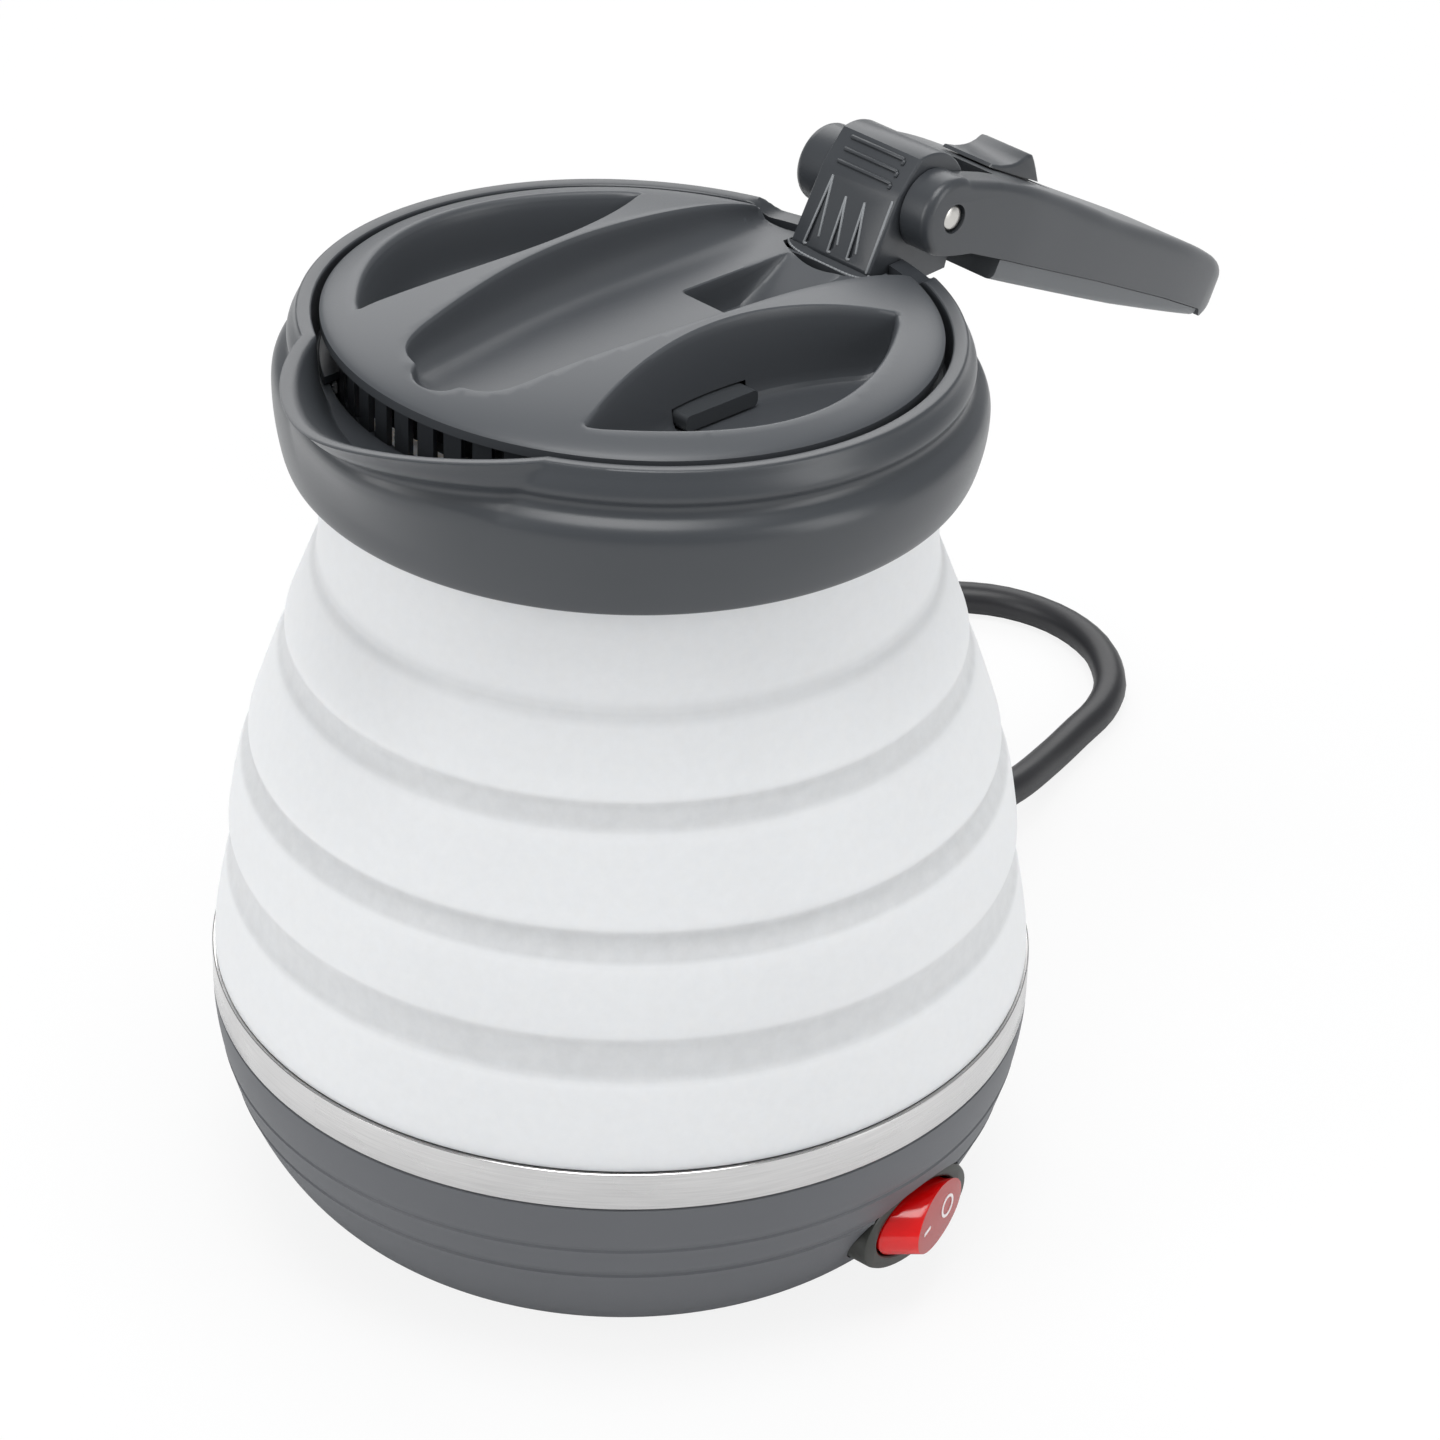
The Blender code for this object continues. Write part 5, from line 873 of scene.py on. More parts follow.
def thicken_line(corners, spacing, closed=True):
    """Adds points along a line so that none is further from the next than the spacing."""
    points = []
    ends = list(zip(corners, corners[1:] + corners[:1] if closed else corners[1:]))
    for (x0, y0), (x1, y1) in ends:
        count = max(1, math.ceil(math.hypot(x1 - x0, y1 - y0) / spacing))
        points += [(x0 + (x1 - x0) * step / count, y0 + (y1 - y0) * step / count) for step in range(count)]
    return points if closed else points + [corners[-1]]


def recess_edge(side):
    """The edge of one finger hollow: two arcs that meet in a tip at the front and one at the rear."""
    (front_x, front_y), (rear_x, rear_y) = RECESS_TIPS
    steps = 160
    points = []
    for index in range(steps):
        angle = math.tau * index / steps
        along, across = math.cos(angle), math.sin(angle)
        tip_y = (front_y + rear_y) / 2 + (rear_y - front_y) / 2 * along
        bulge = RECESS_OUTER_Y if across > 0.0 else RECESS_INNER_Y
        points.append(((front_x + rear_x) / 2 + (rear_x - front_x) / 2 * along,
                       side * (tip_y + (bulge - tip_y) * across * across)))
    return thicken_line(points[::side], EDGE_SPACING)


def pocket_edge():
    """The edge of the slider's pocket, a rectangle with small round corners."""
    rounding = 0.0008
    points = []
    corners = ((0.0444, 0.0056, 0), (0.0191, 0.0056, 90), (0.0191, -0.0056, 180), (0.0444, -0.0056, 270))
    for x, y, turn in corners:
        for step in range(5):
            angle = math.radians(turn + 22.5 * step)
            points.append((x + rounding * math.cos(angle), y + rounding * math.sin(angle)))
    return thicken_line(points, 0.0007)


trough_half = in_metres(spline_through(TROUGH_SIDE, 4))
trough_edge = thicken_line([(x, -y) for x, y in trough_half] + trough_half[:0:-1], EDGE_SPACING)


class Hollow:
    """One hollow of the lid: its edge, its floor and the profile of its sides.
    A finger hollow has another profile on its outer side."""

    def __init__(self, edge, floor, profile, other_profile=None, side=0):
        self.edge = np.array(edge)
        self.floor = floor
        self.profile = np.array(profile) / (1000.0, 1.0)
        self.other = np.array(other_profile) / (1000.0, 1.0) if other_profile else None
        self.side = side

    def distance(self, places):
        """How far each place is inside the edge; less than zero is outside."""
        start = self.edge
        end = np.roll(self.edge, -1, axis=0)
        span = end - start
        slope_y = np.where(span[:, 1] == 0.0, 1e-12, span[:, 1])
        out = np.empty(len(places))
        for first in range(0, len(places), 2000):
            part = places[first:first + 2000, None, :]
            share = np.clip(((part - start) * span).sum(2) / (span ** 2).sum(1), 0.0, 1.0)
            gap = part - start - share[..., None] * span
            near = np.sqrt((gap ** 2).sum(2).min(1))
            crosses = (start[:, 1] > part[..., 1]) != (end[:, 1] > part[..., 1])
            reach = start[:, 0] + (part[..., 1] - start[:, 1]) * span[:, 0] / slope_y
            inside = (crosses & (part[..., 0] < reach)).sum(1) % 2 == 1
            out[first:first + 2000] = np.where(inside, near, -near)
        return out

    def drop(self, places):
        """How far down the side has come at each place, from 0 on the lid's top to 1 on the floor."""
        inside = self.distance(places)
        share = np.interp(inside, self.profile[:, 0], self.profile[:, 1])
        if self.other is not None:
            (front_x, front_y), (rear_x, rear_y) = RECESS_TIPS
            chord = front_y + (places[:, 0] - front_x) * (rear_y - front_y) / (rear_x - front_x)
            outer = (self.side * places[:, 1] - chord) / RECESS_BLEND + RECESS_BLEND_START
            outer = np.clip(outer, 0.0, 1.0)
            outer = outer * outer * (3.0 - 2.0 * outer)
            share = share * (1.0 - outer) + np.interp(inside, self.other[:, 0], self.other[:, 1]) * outer
        return share

    def lines(self):
        """Lines round the hollow, one for each step of its profiles, and which of their points lie true."""
        before = np.roll(self.edge, 1, axis=0)
        after = np.roll(self.edge, -1, axis=0)
        way = after - before
        way /= np.linalg.norm(way, axis=1)[:, None]
        inward = np.stack((-way[:, 1], way[:, 0]), 1)
        if (np.cross(self.edge, after)).sum() < 0.0:
            inward = -inward
        steps = set(self.profile[:, 0]) | set(self.other[:, 0] if self.other is not None else ())
        for step in sorted(steps):
            line = self.edge + inward * step
            yield line.tolist(), np.abs(self.distance(line) - step) < LINE_TOLERANCE


hollows = [
    Hollow(recess_edge(1), RECESS_FLOOR_Z, CRISP_PROFILE, SOFT_PROFILE, 1),
    Hollow(recess_edge(-1), RECESS_FLOOR_Z, CRISP_PROFILE, SOFT_PROFILE, -1),
    Hollow(trough_edge, TROUGH_FLOOR_Z, TROUGH_PROFILE),
    Hollow(pocket_edge(), POCKET_FLOOR_Z, POCKET_PROFILE),
]


def lid_level(places):
    """The level of the lid's top at each place on its plan."""
    share = np.clip((places ** 2).sum(1) / LID_RADIUS ** 2, 0.0, 1.0)
    top = RIM_Z + DOME_HEIGHT * (1.0 - share) ** DOME_POWER
    levels = top.copy()
    *open_hollows, pocket = hollows
    for hollow in open_hollows:
        levels = np.minimum(levels, top + (hollow.floor - top) * hollow.drop(places))
    ramp = np.interp(places[:, 0], POCKET_RAMP_X, (pocket.floor, TROUGH_FLOOR_Z + 0.0002))
    return levels + np.minimum(ramp - levels, 0.0) * pocket.drop(places)


plan = []
plan_lines = []


def add_line(points, closed):
    """Adds a line of points to the plan."""
    first = len(plan)
    plan.extend(points)
    count = len(points)
    plan_lines.extend((first + index, first + index + 1) for index in range(count - 1))
    if closed:
        plan_lines.append((first + count - 1, first))


notch_angle = math.asin(NOTCH_HALF_WIDTH / LID_RADIUS)
RIM_STEPS = 300
rim_angles = [notch_angle + (math.tau - 2 * notch_angle) * step / RIM_STEPS for step in range(RIM_STEPS + 1)]
rim_line = [(LID_RADIUS * math.cos(angle), LID_RADIUS * math.sin(angle)) for angle in rim_angles]


def notch_front(y):
    """Where the notch for the block's toe starts; its front edge bows forward."""
    return NOTCH_X - NOTCH_BOW * max(0.0, 1.0 - (y / NOTCH_HALF_WIDTH) ** 2)


notch_bow = [(notch_front(y), y) for y in (NOTCH_HALF_WIDTH * (step / 16 - 1.0) for step in range(33))]
notch_line = thicken_line([rim_line[-1]] + notch_bow + [rim_line[0]], 0.001, False)
add_line(rim_line + notch_line[1:-1], True)


NOTCH_CLEARANCE = 0.0003
RIM_CLEARANCE = 0.0002


def on_lid(point):
    """Whether a point is on the lid, clear of its rim and of the notch."""
    x, y = point
    in_notch = x > notch_front(y) - NOTCH_CLEARANCE and abs(y) < NOTCH_HALF_WIDTH + NOTCH_CLEARANCE
    return math.hypot(x, y) < LID_RADIUS - RIM_CLEARANCE and not in_notch


def add_runs(points, true_points):
    """Adds the stretches of a line that lie true and are on the lid."""
    run = []
    for point, true in zip(points, true_points):
        if true and on_lid(point):
            run.append(tuple(point))
            continue
        if len(run) > 1:
            add_line(run, False)
        run = []
    if len(run) > 1:
        add_line(run, False)


RING_SHARES = (0.9975, 0.993, 0.986, 0.976, 0.962, 0.945, 0.925)
for share in RING_SHARES:
    add_runs([(x * share, y * share) for x, y in rim_line], [True] * len(rim_line))
for hollow in hollows:
    for line, true_points in hollow.lines():
        add_runs(line, true_points)
ramp_foot = POCKET_RAMP_X[0]
add_line(thicken_line([(ramp_foot, 0.0055), (ramp_foot, -0.0055)], EDGE_SPACING, False), False)
# Points in rows of triangles fill what the lines leave free.
tree = KDTree(len(plan))
for index, (x, y) in enumerate(plan):
    tree.insert((x, y, 0.0), index)
tree.balance()
FILL_SPACING = 0.0013
FILL_ROWS = 50
FILL_CLEARANCE = 0.0007
for row in range(-FILL_ROWS, FILL_ROWS + 1):
    for column in range(-FILL_ROWS, FILL_ROWS + 1):
        point = (FILL_SPACING * (column + 0.5 * (row % 2)), FILL_SPACING * 0.866 * row)
        if on_lid(point) and tree.find((point[0], point[1], 0.0))[2] > FILL_CLEARANCE:
            plan.append(point)
flat_points, _, flat_faces, *_ = delaunay_2d_cdt(
    [Vector(point) for point in plan], plan_lines, [], 0, 0.000002)
flat = np.array([tuple(point) for point in flat_points])
levels = lid_level(flat)
kept = []
for face in flat_faces:
    x, y = flat[list(face)].mean(0)
    if math.hypot(x, y) < LID_RADIUS and not (x > notch_front(y) and abs(y) < NOTCH_HALF_WIDTH):
        kept.append(face)
shape = bmesh.new()
upper = [shape.verts.new((x, y, z)) for (x, y), z in zip(flat, levels)]
lower = [shape.verts.new((x, y, z - LID_SHEET)) for (x, y), z in zip(flat, levels)]
edge_uses = {}
for face in kept:
    shape.faces.new([upper[index] for index in face])
    shape.faces.new([lower[index] for index in reversed(face)])
    for pair in zip(face, face[1:] + face[:1]):
        edge_uses[frozenset(pair)] = None if frozenset(pair) in edge_uses else pair
for pair in edge_uses.values():
    if pair:
        shape.faces.new((upper[pair[1]], upper[pair[0]], lower[pair[0]], lower[pair[1]]))
bmesh.ops.delete(shape, geom=[v for v in shape.verts if not v.link_faces], context="VERTS")
bmesh.ops.recalc_face_normals(shape, faces=shape.faces)
lid_mesh = bpy.data.meshes.new("domed_lid")
shape.to_mesh(lid_mesh)
shape.free()
lid_cover = bpy.data.objects.new("domed_lid", lid_mesh)
bpy.context.scene.collection.objects.link(lid_cover)
TAB_X = -0.0035
TAB_TOP = RIM_Z - 0.0054
TAB_UNDER = TAB_TOP - 0.003
# A window in the inner wall of each finger hollow lets its latch through.
for side in (1, -1):
    near, far = sorted((side * 0.0152, side * 0.0248))
    cut_away(lid_cover, cutting_box((TAB_X - 0.0088, near, TAB_UNDER - 0.0003),
                                    (TAB_X + 0.0088, far, TAB_TOP + 0.0004)))
LID_RIM_OUTLINE = ((0.047, 0.159), (0.0488, 0.159), (0.0488, 0.1711), (0.047, 0.1716), (0.047, 0.159))
SKIRT_TOP_Z = 0.1655
lid_rim = extruded_rings("lid_rim", LID_RIM_OUTLINE, 180)
cut_away(lid_rim, notch_box())
cut_away(lid_rim, flow_box(0.15, 0.169))


def under_sheet(vertices):
    """The level of the middle of the lid's sheet over each vertex."""
    return lid_level(np.array([(vertex.co.x, vertex.co.y) for vertex in vertices])) - LID_SHEET / 2


# The top of the skirt, which leans already, and the rim that it snaps into end inside the lid's sheet.
skirt_top = [vertex for vertex in lid_skirt.data.vertices if vertex.co.z > SKIRT_TOP_Z]
for vertex, ceiling in zip(skirt_top, under_sheet(skirt_top)):
    vertex.co.z = min(vertex.co.z, float(ceiling) - TILT * vertex.co.x)
for vertex, ceiling in zip(lid_rim.data.vertices, under_sheet(lid_rim.data.vertices)):
    vertex.co.z = min(vertex.co.z, ceiling)
pick(lid_cover, lid_rim)
bpy.ops.object.join()
lean(lid_cover)
smooth_over(lid_cover, 32)
# The cover is the collar's ABS painted a lighter shade, which stands in for the light on its top.
lid_abs_painted_lighter = moulded_abs("moulded_lid_grey_abs", "#484b4f", "#4e5155", 0.38)
lid_cover.data.materials.append(lid_abs_painted_lighter)
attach(lid_cover, "lid")
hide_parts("lid_cover")
finish_node("lid_base", dark_grey_abs)

# Latches: two sprung ABS tabs that stick out of the inner walls of the hollows and are squeezed together.
# Each is a bar with rounded edges on a web, and the web ends in a long tongue under the lid.
TAB_HALF_LENGTH = 0.0085
TAB_NEAR_Y = 0.01385
TAB_FAR_Y = 0.0248
WEB_HALF_LENGTH = 0.0075
TONGUE_FAR_Y = 0.0508


def bevel_edges(piece, chosen, width, steps=3):
    """Rounds the edges whose two ends both pass a test."""
    pick(piece)
    bpy.ops.object.mode_set(mode="EDIT")
    bpy.ops.mesh.select_mode(type="EDGE")
    bpy.ops.mesh.select_all(action="DESELECT")
    bpy.ops.object.mode_set(mode="OBJECT")
    for edge in piece.data.edges:
        edge.select = chosen(*(piece.data.vertices[index].co for index in edge.vertices))
    bpy.ops.object.mode_set(mode="EDIT")
    bpy.ops.mesh.bevel(offset=width, segments=steps, affect="EDGES", clamp_overlap=True)
    bpy.ops.object.mode_set(mode="OBJECT")


TONGUE_UNDER_Z = 0.1565
TONGUE_TOP_Z = 0.1579
WEB_TOP_Z = 0.1644
left_x, right_x = TAB_X - TAB_HALF_LENGTH, TAB_X + TAB_HALF_LENGTH
web_left_x, web_right_x = TAB_X - WEB_HALF_LENGTH, TAB_X + WEB_HALF_LENGTH
right_latch = cutting_box((left_x, -TAB_FAR_Y, TAB_UNDER), (right_x, -TAB_NEAR_Y, TAB_TOP))
bevel_edges(right_latch, lambda a, b: abs(a.x - b.x) < 0.001 and abs(a.z - b.z) < 0.001
            and abs(a.x - TAB_X) > 0.008, 0.001, 4)
bevel_edges(right_latch, lambda a, b: a.z > TAB_TOP - 0.00001 and b.z > TAB_TOP - 0.00001, 0.00055, 3)
bevel_edges(right_latch, lambda a, b: max(a.y, b.y) < -TAB_FAR_Y + 0.0018 and a.z < TAB_UNDER + 0.00001
            and b.z < TAB_UNDER + 0.00001, 0.0003, 2)
web = cutting_box((web_left_x, -TAB_NEAR_Y - 0.0018, TONGUE_UNDER_Z),
                  (web_right_x, -TAB_NEAR_Y - 0.0001, WEB_TOP_Z))
combine(right_latch, web, "UNION")
tongue = cutting_box((web_left_x, -TONGUE_FAR_Y, TONGUE_UNDER_Z),
                     (web_right_x, -TAB_NEAR_Y - 0.0002, TONGUE_TOP_Z))
bevel_edges(tongue, lambda a, b: max(a.y, b.y) < -0.05, 0.0004, 2)
combine(right_latch, tongue, "UNION")
right_latch.name = "latch_tab_right"
# The tabs are moulded apart in a glossier grade of the same grey.
glossy_grey_abs = moulded_abs("moulded_glossy_grey_abs", "#424548", "#474a4d", 0.3, 0.2)
right_latch.data.materials.append(glossy_grey_abs)
left_latch = copy_piece(right_latch, "latch_tab_left")
for vertex in left_latch.data.vertices:
    vertex.co.y *= -1.0
left_latch.data.flip_normals()
for latch, body in ((right_latch, "latch_right"), (left_latch, "latch_left")):
    lean(latch)
    smooth_over(latch, 32)
    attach(latch, body)
    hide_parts(body)

# Hinge block: the ribbed ABS block that rises out of the collar and holds the pin between the handle's
# ears. Three ribs cross its top, three pointed flutes with raised edges run down its face, and its toe ends
# in a lip.
BLOCK_RADIUS = 0.0099
BLOCK_DROP = 0.0138
BLOCK_FACES = ((0.56, -1.0), (-0.86, -1.0), (-1.06, -0.84), (-1.33, -0.78), (-1.455, -0.61), (-0.71, 0.32))
RIB_LENGTH = 0.0128
RIB_RADIUS = 0.00042
FLUTES = (
    ((0.0064, 0.0003), (0.0038, 0.0024), (0.0059, 0.0134)),
    ((0.0008, 0.0006), (-0.0007, 0.0024), (0.0015, 0.0109)),
    ((-0.0037, 0.0008), (-0.0052, 0.0023), (-0.0028, 0.0112)),
)
FLUTE_DEPTH = 0.0007
EDGE_LINE_RADIUS = 0.00024


def face_outwards(piece):
    """Turns the faces of a closed piece to point outwards."""
    pick(piece)
    bpy.ops.object.mode_set(mode="EDIT")
    bpy.ops.mesh.select_all(action="SELECT")
    bpy.ops.mesh.normals_make_consistent(inside=False)
    bpy.ops.object.mode_set(mode="OBJECT")


def extruded_face(name, corners, way):
    """Fills a line of corners and extrudes the face into a solid."""
    deselect()
    bpy.ops.mesh.primitive_circle_add(vertices=len(corners), radius=1.0, fill_type="NGON")
    piece = bpy.context.object
    piece.name = name
    for vertex, corner in zip(piece.data.vertices, corners):
        vertex.co = corner
    bpy.ops.object.mode_set(mode="EDIT")
    bpy.ops.mesh.select_all(action="SELECT")
    bpy.ops.mesh.extrude_region_move(TRANSFORM_OT_translate={"value": way})
    bpy.ops.object.mode_set(mode="OBJECT")
    face_outwards(piece)
    return piece


def profile_prism(name, outline, low, high):
    """Extrudes an outline of (x, z) points across the kettle, along y."""
    return extruded_face(name, [(x, low, z) for x, z in outline], (0.0, high - low, 0.0))


def rod(start, end, radius, steps=10):
    """A thin round rod with rounded ends, from a cylinder bevelled at both ends."""
    start, end = Vector(start), Vector(end)
    way = end - start
    half = way.length / 2
    piece = round_bar(steps, radius, way.length, Matrix.Identity(4))
    bevel_edges(piece, lambda a, b: abs(abs(a.z) - half) < 1e-6 and abs(a.z - b.z) < 1e-6, radius * 0.6, 2)
    turn = way.to_track_quat("Z", "Y").to_matrix().to_4x4()
    piece.data.transform(Matrix.Translation((start + end) / 2) @ turn)
    return piece


block_line = [(BLOCK_RADIUS * math.cos(math.radians(angle)), BLOCK_RADIUS * math.sin(math.radians(angle)))
              for angle in np.linspace(102, -38, 36)]
block_line += [(BLOCK_RADIUS * along, BLOCK_DROP * level) for along, level in BLOCK_FACES]
hinge_block = profile_prism("ribbed_hinge_block", [(PIN_X + x, PIN_Z + z) for x, z in block_line],
                            -BLOCK_HALF_WIDTH, BLOCK_HALF_WIDTH)
bevel_edges(hinge_block, lambda a, b: abs(a.y - b.y) < 1e-6 and min(a.z, b.z) > PIN_Z - 0.0117, 0.0006, 3)
crown = Vector((PIN_X + block_line[0][0], 0.0, PIN_Z + block_line[0][1]))
crease = Vector((PIN_X + block_line[-1][0], 0.0, PIN_Z + block_line[-1][1]))
nose = Vector((PIN_X + block_line[-2][0], 0.0, PIN_Z + block_line[-2][1]))
for ridge, width, steps in ((crease, 0.0007, 4), (nose, 0.0005, 3)):
    bevel_edges(hinge_block, lambda a, b: all((spot.xz - ridge.xz).length < 0.0002 for spot in (a, b)),
                width, steps)
across = Vector((0.0, 1.0, 0.0))
top_way = (crown - crease).normalized()
top_out = across.cross(top_way) * -1.0
face_way = (crease - nose).normalized()
face_out = across.cross(face_way) * -1.0
ribs = []
raised_lines = []
RIB_STUB = 0.0011
RIBS = 3
for index in range(RIBS):
    level = crease + top_way * (crown - crease).length * (index + 0.5) / RIBS + top_out * 0.0001
    left_end, right_end = level + across * RIB_LENGTH / 2, level - across * RIB_LENGTH / 2
    ribs += [rod(left_end, right_end, RIB_RADIUS),
             rod(right_end, right_end - top_way * RIB_STUB, RIB_RADIUS * 0.9)]
for places in FLUTES:
    foot_left, foot_right, tip = corners = [nose + across * side + face_way * up for side, up in places]
    groove = profile_prism("flute", [(0.0, 0.0), (1.0, 0.0), (1.0, 1.0)], -1.0, 1.0)
    for vertex in groove.data.vertices:
        corner = 0 if vertex.co.x < 0.5 else (1 if vertex.co.z < 0.5 else 2)
        inside_level = -0.00002 if corner == 2 else -FLUTE_DEPTH
        vertex.co = corners[corner] + face_out * (0.001 if vertex.co.y > 0.0 else inside_level)
    face_outwards(groove)
    cut_away(hinge_block, groove)
    raised_lines += [rod(foot_left, tip, EDGE_LINE_RADIUS), rod(foot_right, tip, EDGE_LINE_RADIUS),
                     rod(foot_left, foot_left - across * 0.0007 + face_way * 0.0003, EDGE_LINE_RADIUS)]
raised_lines.append(rod(nose - across * 0.0088, nose - across * 0.0083 + face_way * 0.0134, EDGE_LINE_RADIUS))
pin_place = Matrix.Translation((PIN_X, 0.0, PIN_Z)) @ UPRIGHT_TO_Y
pin_hole = extruded_rings("pin_hole", ((0.0022, -0.02), (0.0022, 0.02)), 32)
pin_hole.data.transform(pin_place)
cut_away(hinge_block, pin_hole)
# Toe: the foot of the face bows down into the lid's notch, and a fine lip runs along its edge.
TOE_HALF_WIDTH = 0.0097
TOE_BOW = 0.0015
TOE_STEPS = 32
toe_edge = []
for step in range(TOE_STEPS + 1):
    y = TOE_HALF_WIDTH * math.sin(math.pi * (step / TOE_STEPS - 0.5))
    bow = TOE_BOW * math.sqrt(max(0.0, 1.0 - (y / TOE_HALF_WIDTH) ** 4))
    toe_edge.append(nose + across * y - face_way * bow + face_out * 0.00012)
toe_top = [nose + across * side * TOE_HALF_WIDTH + face_way * 0.0001 - face_out * 0.0012 for side in (1, -1)]
toe = extruded_face("toe", toe_edge + toe_top, (0.0006, 0.0, -0.0030))
combine(hinge_block, toe, "UNION")
raised_lines += [rod(start, end, EDGE_LINE_RADIUS) for start, end in zip(toe_edge, toe_edge[1:])]
smooth_over(hinge_block, 28)
hinge_block.data.materials.append(dark_grey_abs)
# The raised lines are painted a pale grey: a painted highlight along them, standing in for the light they
# catch.
highlight_line_abs = moulded_abs("polished_raised_lines", "#8d9093", "#979a9d", 0.3)
for pieces, finish in ((ribs, dark_grey_abs), (raised_lines, highlight_line_abs)):
    for piece in pieces:
        smooth_over(piece, 60)
        piece.data.materials.append(finish)
pick(hinge_block, *ribs, *raised_lines)
bpy.ops.object.join()
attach(hinge_block, "top")
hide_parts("hinge_block")

# Hinge pin: a steel pin that is turned with a domed head, and pressed through both ears and the block.
PIN_HEAD = ((1.9, 14.8), (2.4, 14.8), (2.4, 15.1), (2.25, 15.4), (1.9, 15.6), (0.9, 15.75))
pin_line = [(r, -y) for r, y in PIN_HEAD[::-1]] + list(PIN_HEAD)
hinge_pin = extruded_rings("domed_hinge_pin", in_metres(pin_line), 48)
hinge_pin.data.transform(pin_place)
smooth_over(hinge_pin, 40)
hinge_pin.data.materials.append(turned_steel)
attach(hinge_pin, "top")
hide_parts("hinge_pin")

# Handle: a hollow ABS shell with two round ears on the pin, wide at the hinge and tapered to a rounded tip.
# Its top edges are rounded, its lower edge stays sharp against the cover, and a slot in its top guides the
# slider.
HANDLE_SLOPE = math.radians(27)
EAR_RADIUS = 0.0073
HANDLE_LENGTH = 0.1025
HANDLE_HALF_WIDTH = 0.016
HANDLE_DEPTH = 0.0086
HANDLE_WALL = 0.0024
WEB_RADIUS = 0.01698
# The side view's top and underside are in shares of the length and depth, and the plan in shares of the
# length and half width.
HANDLE_TOP = (
    (0.1, 0.95), (0.2, 1.0), (0.33, 0.93), (0.44, 0.84), (0.556, 0.72), (0.79, 0.57), (0.907, 0.42),
    (0.965, 0.24), (0.99, 0.02), (0.999, -0.25),
)
HANDLE_UNDER = (
    (0.998, -0.36), (0.994, -0.56), (0.984, -0.76), (0.968, -0.88), (0.945, -0.94), (0.918, -0.945),
    (0.908, -0.79), (0.75, -0.68), (0.5, -0.6), (0.19, -0.58), (0.08, -0.6),
)
HANDLE_PLAN = (
    (0.0, 1.0), (0.2, 1.0), (0.34, 0.955), (0.49, 0.89), (0.65, 0.79), (0.78, 0.695), (0.86, 0.62),
    (0.915, 0.55), (0.95, 0.475), (0.975, 0.38), (0.99, 0.27), (0.998, 0.14),
)
handle_place = Matrix.Translation((PIN_X, 0.0, PIN_Z)) @ Matrix.Rotation(HANDLE_SLOPE, 4, "Y")
plan_line = np.array(spline_through(HANDLE_PLAN, 8))


def plan_half(along, inset=0.0):
    """The handle's half width at a distance from the pin."""
    share = min(max(along / HANDLE_LENGTH, 0.0), 0.998)
    half = float(np.interp(share, plan_line[:, 0], plan_line[:, 1])) * HANDLE_HALF_WIDTH
    return max(half - inset, 0.0004)


def taper(piece, inset=0.0):
    """Slices a prism of the handle's full width across, and brings its sides in to the handle's plan.
    The slices are 3 mm apart, and 0.9 mm at the tip."""
    pick(piece)
    bpy.ops.object.mode_set(mode="EDIT")
    slices = [0.021 + 0.003 * step for step in range(24)] + [0.0925 + 0.0009 * step for step in range(12)]
    for along in slices:
        bpy.ops.mesh.select_all(action="SELECT")
        bpy.ops.mesh.bisect(plane_co=(along, 0.0, 0.0), plane_no=(1.0, 0.0, 0.0))
    bpy.ops.object.mode_set(mode="OBJECT")
    for vertex in piece.data.vertices:
        room = HANDLE_HALF_WIDTH - abs(vertex.co.y)
        vertex.co.y = math.copysign(max(plan_half(vertex.co.x, inset) - room, 0.0002), vertex.co.y)
    return piece


handle_top = spline_through([(HANDLE_LENGTH * a, HANDLE_DEPTH * b) for a, b in HANDLE_TOP], 6)
handle_under = [(HANDLE_LENGTH * a, HANDLE_DEPTH * b) for a, b in HANDLE_UNDER]
ear_line = [(EAR_RADIUS * math.cos(math.radians(angle)), EAR_RADIUS * math.sin(math.radians(angle)))
            for angle in np.linspace(265, 75, 44)]
handle_shell = profile_prism("handle_shell_rounded", ear_line + handle_top + handle_under,
                             -HANDLE_HALF_WIDTH, HANDLE_HALF_WIDTH)
# The top's rounding is slight round the ears and broad along the handle.
EAR_ROUNDING = 0.45
edge_weight = handle_shell.data.attributes.new("bevel_weight_edge", "FLOAT", "EDGE")
for edge in handle_shell.data.edges:
    a, b = (handle_shell.data.vertices[index].co for index in edge.vertices)
    if a.y * b.y > 0.0 and (max(a.z, b.z) > -0.0045 or max(a.x, b.x) < 0.008 or min(a.x, b.x) > 0.0945):
        along = (a.x + b.x) / 2
        broad = ease((along - 0.01) / 0.03) * ease((0.104 - along) / 0.016)
        edge_weight.data[edge.index].value = EAR_ROUNDING + (1.0 - EAR_ROUNDING) * broad
apply_modifier(handle_shell, "BEVEL", limit_method="WEIGHT", width=0.0038, segments=6,
               use_clamp_overlap=False)
taper(handle_shell)
ear_gap = extruded_rings("ear_gap", ((WEB_RADIUS, -0.0097), (WEB_RADIUS, 0.0097)), 64)
ear_gap.data.transform(UPRIGHT_TO_Y)
cut_away(handle_shell, ear_gap)
CAVITY_START = 0.0194
CAVITY_END = 0.09
CAVITY_UNDER = -0.0095
cavity_line = [(a, b - HANDLE_WALL) for a, b in handle_top if 0.0215 < a < CAVITY_END]
cavity_line = [(CAVITY_START, cavity_line[0][1])] + cavity_line + [
    (CAVITY_END, -0.0069), (CAVITY_END, CAVITY_UNDER), (CAVITY_START, CAVITY_UNDER)]
cavity = profile_prism("handle_cavity", cavity_line, -HANDLE_HALF_WIDTH, HANDLE_HALF_WIDTH)
cut_away(handle_shell, taper(cavity, HANDLE_WALL))
cut_away(handle_shell, cutting_box((0.0207, -0.004, 0.0), (0.0413, 0.004, 0.012)))
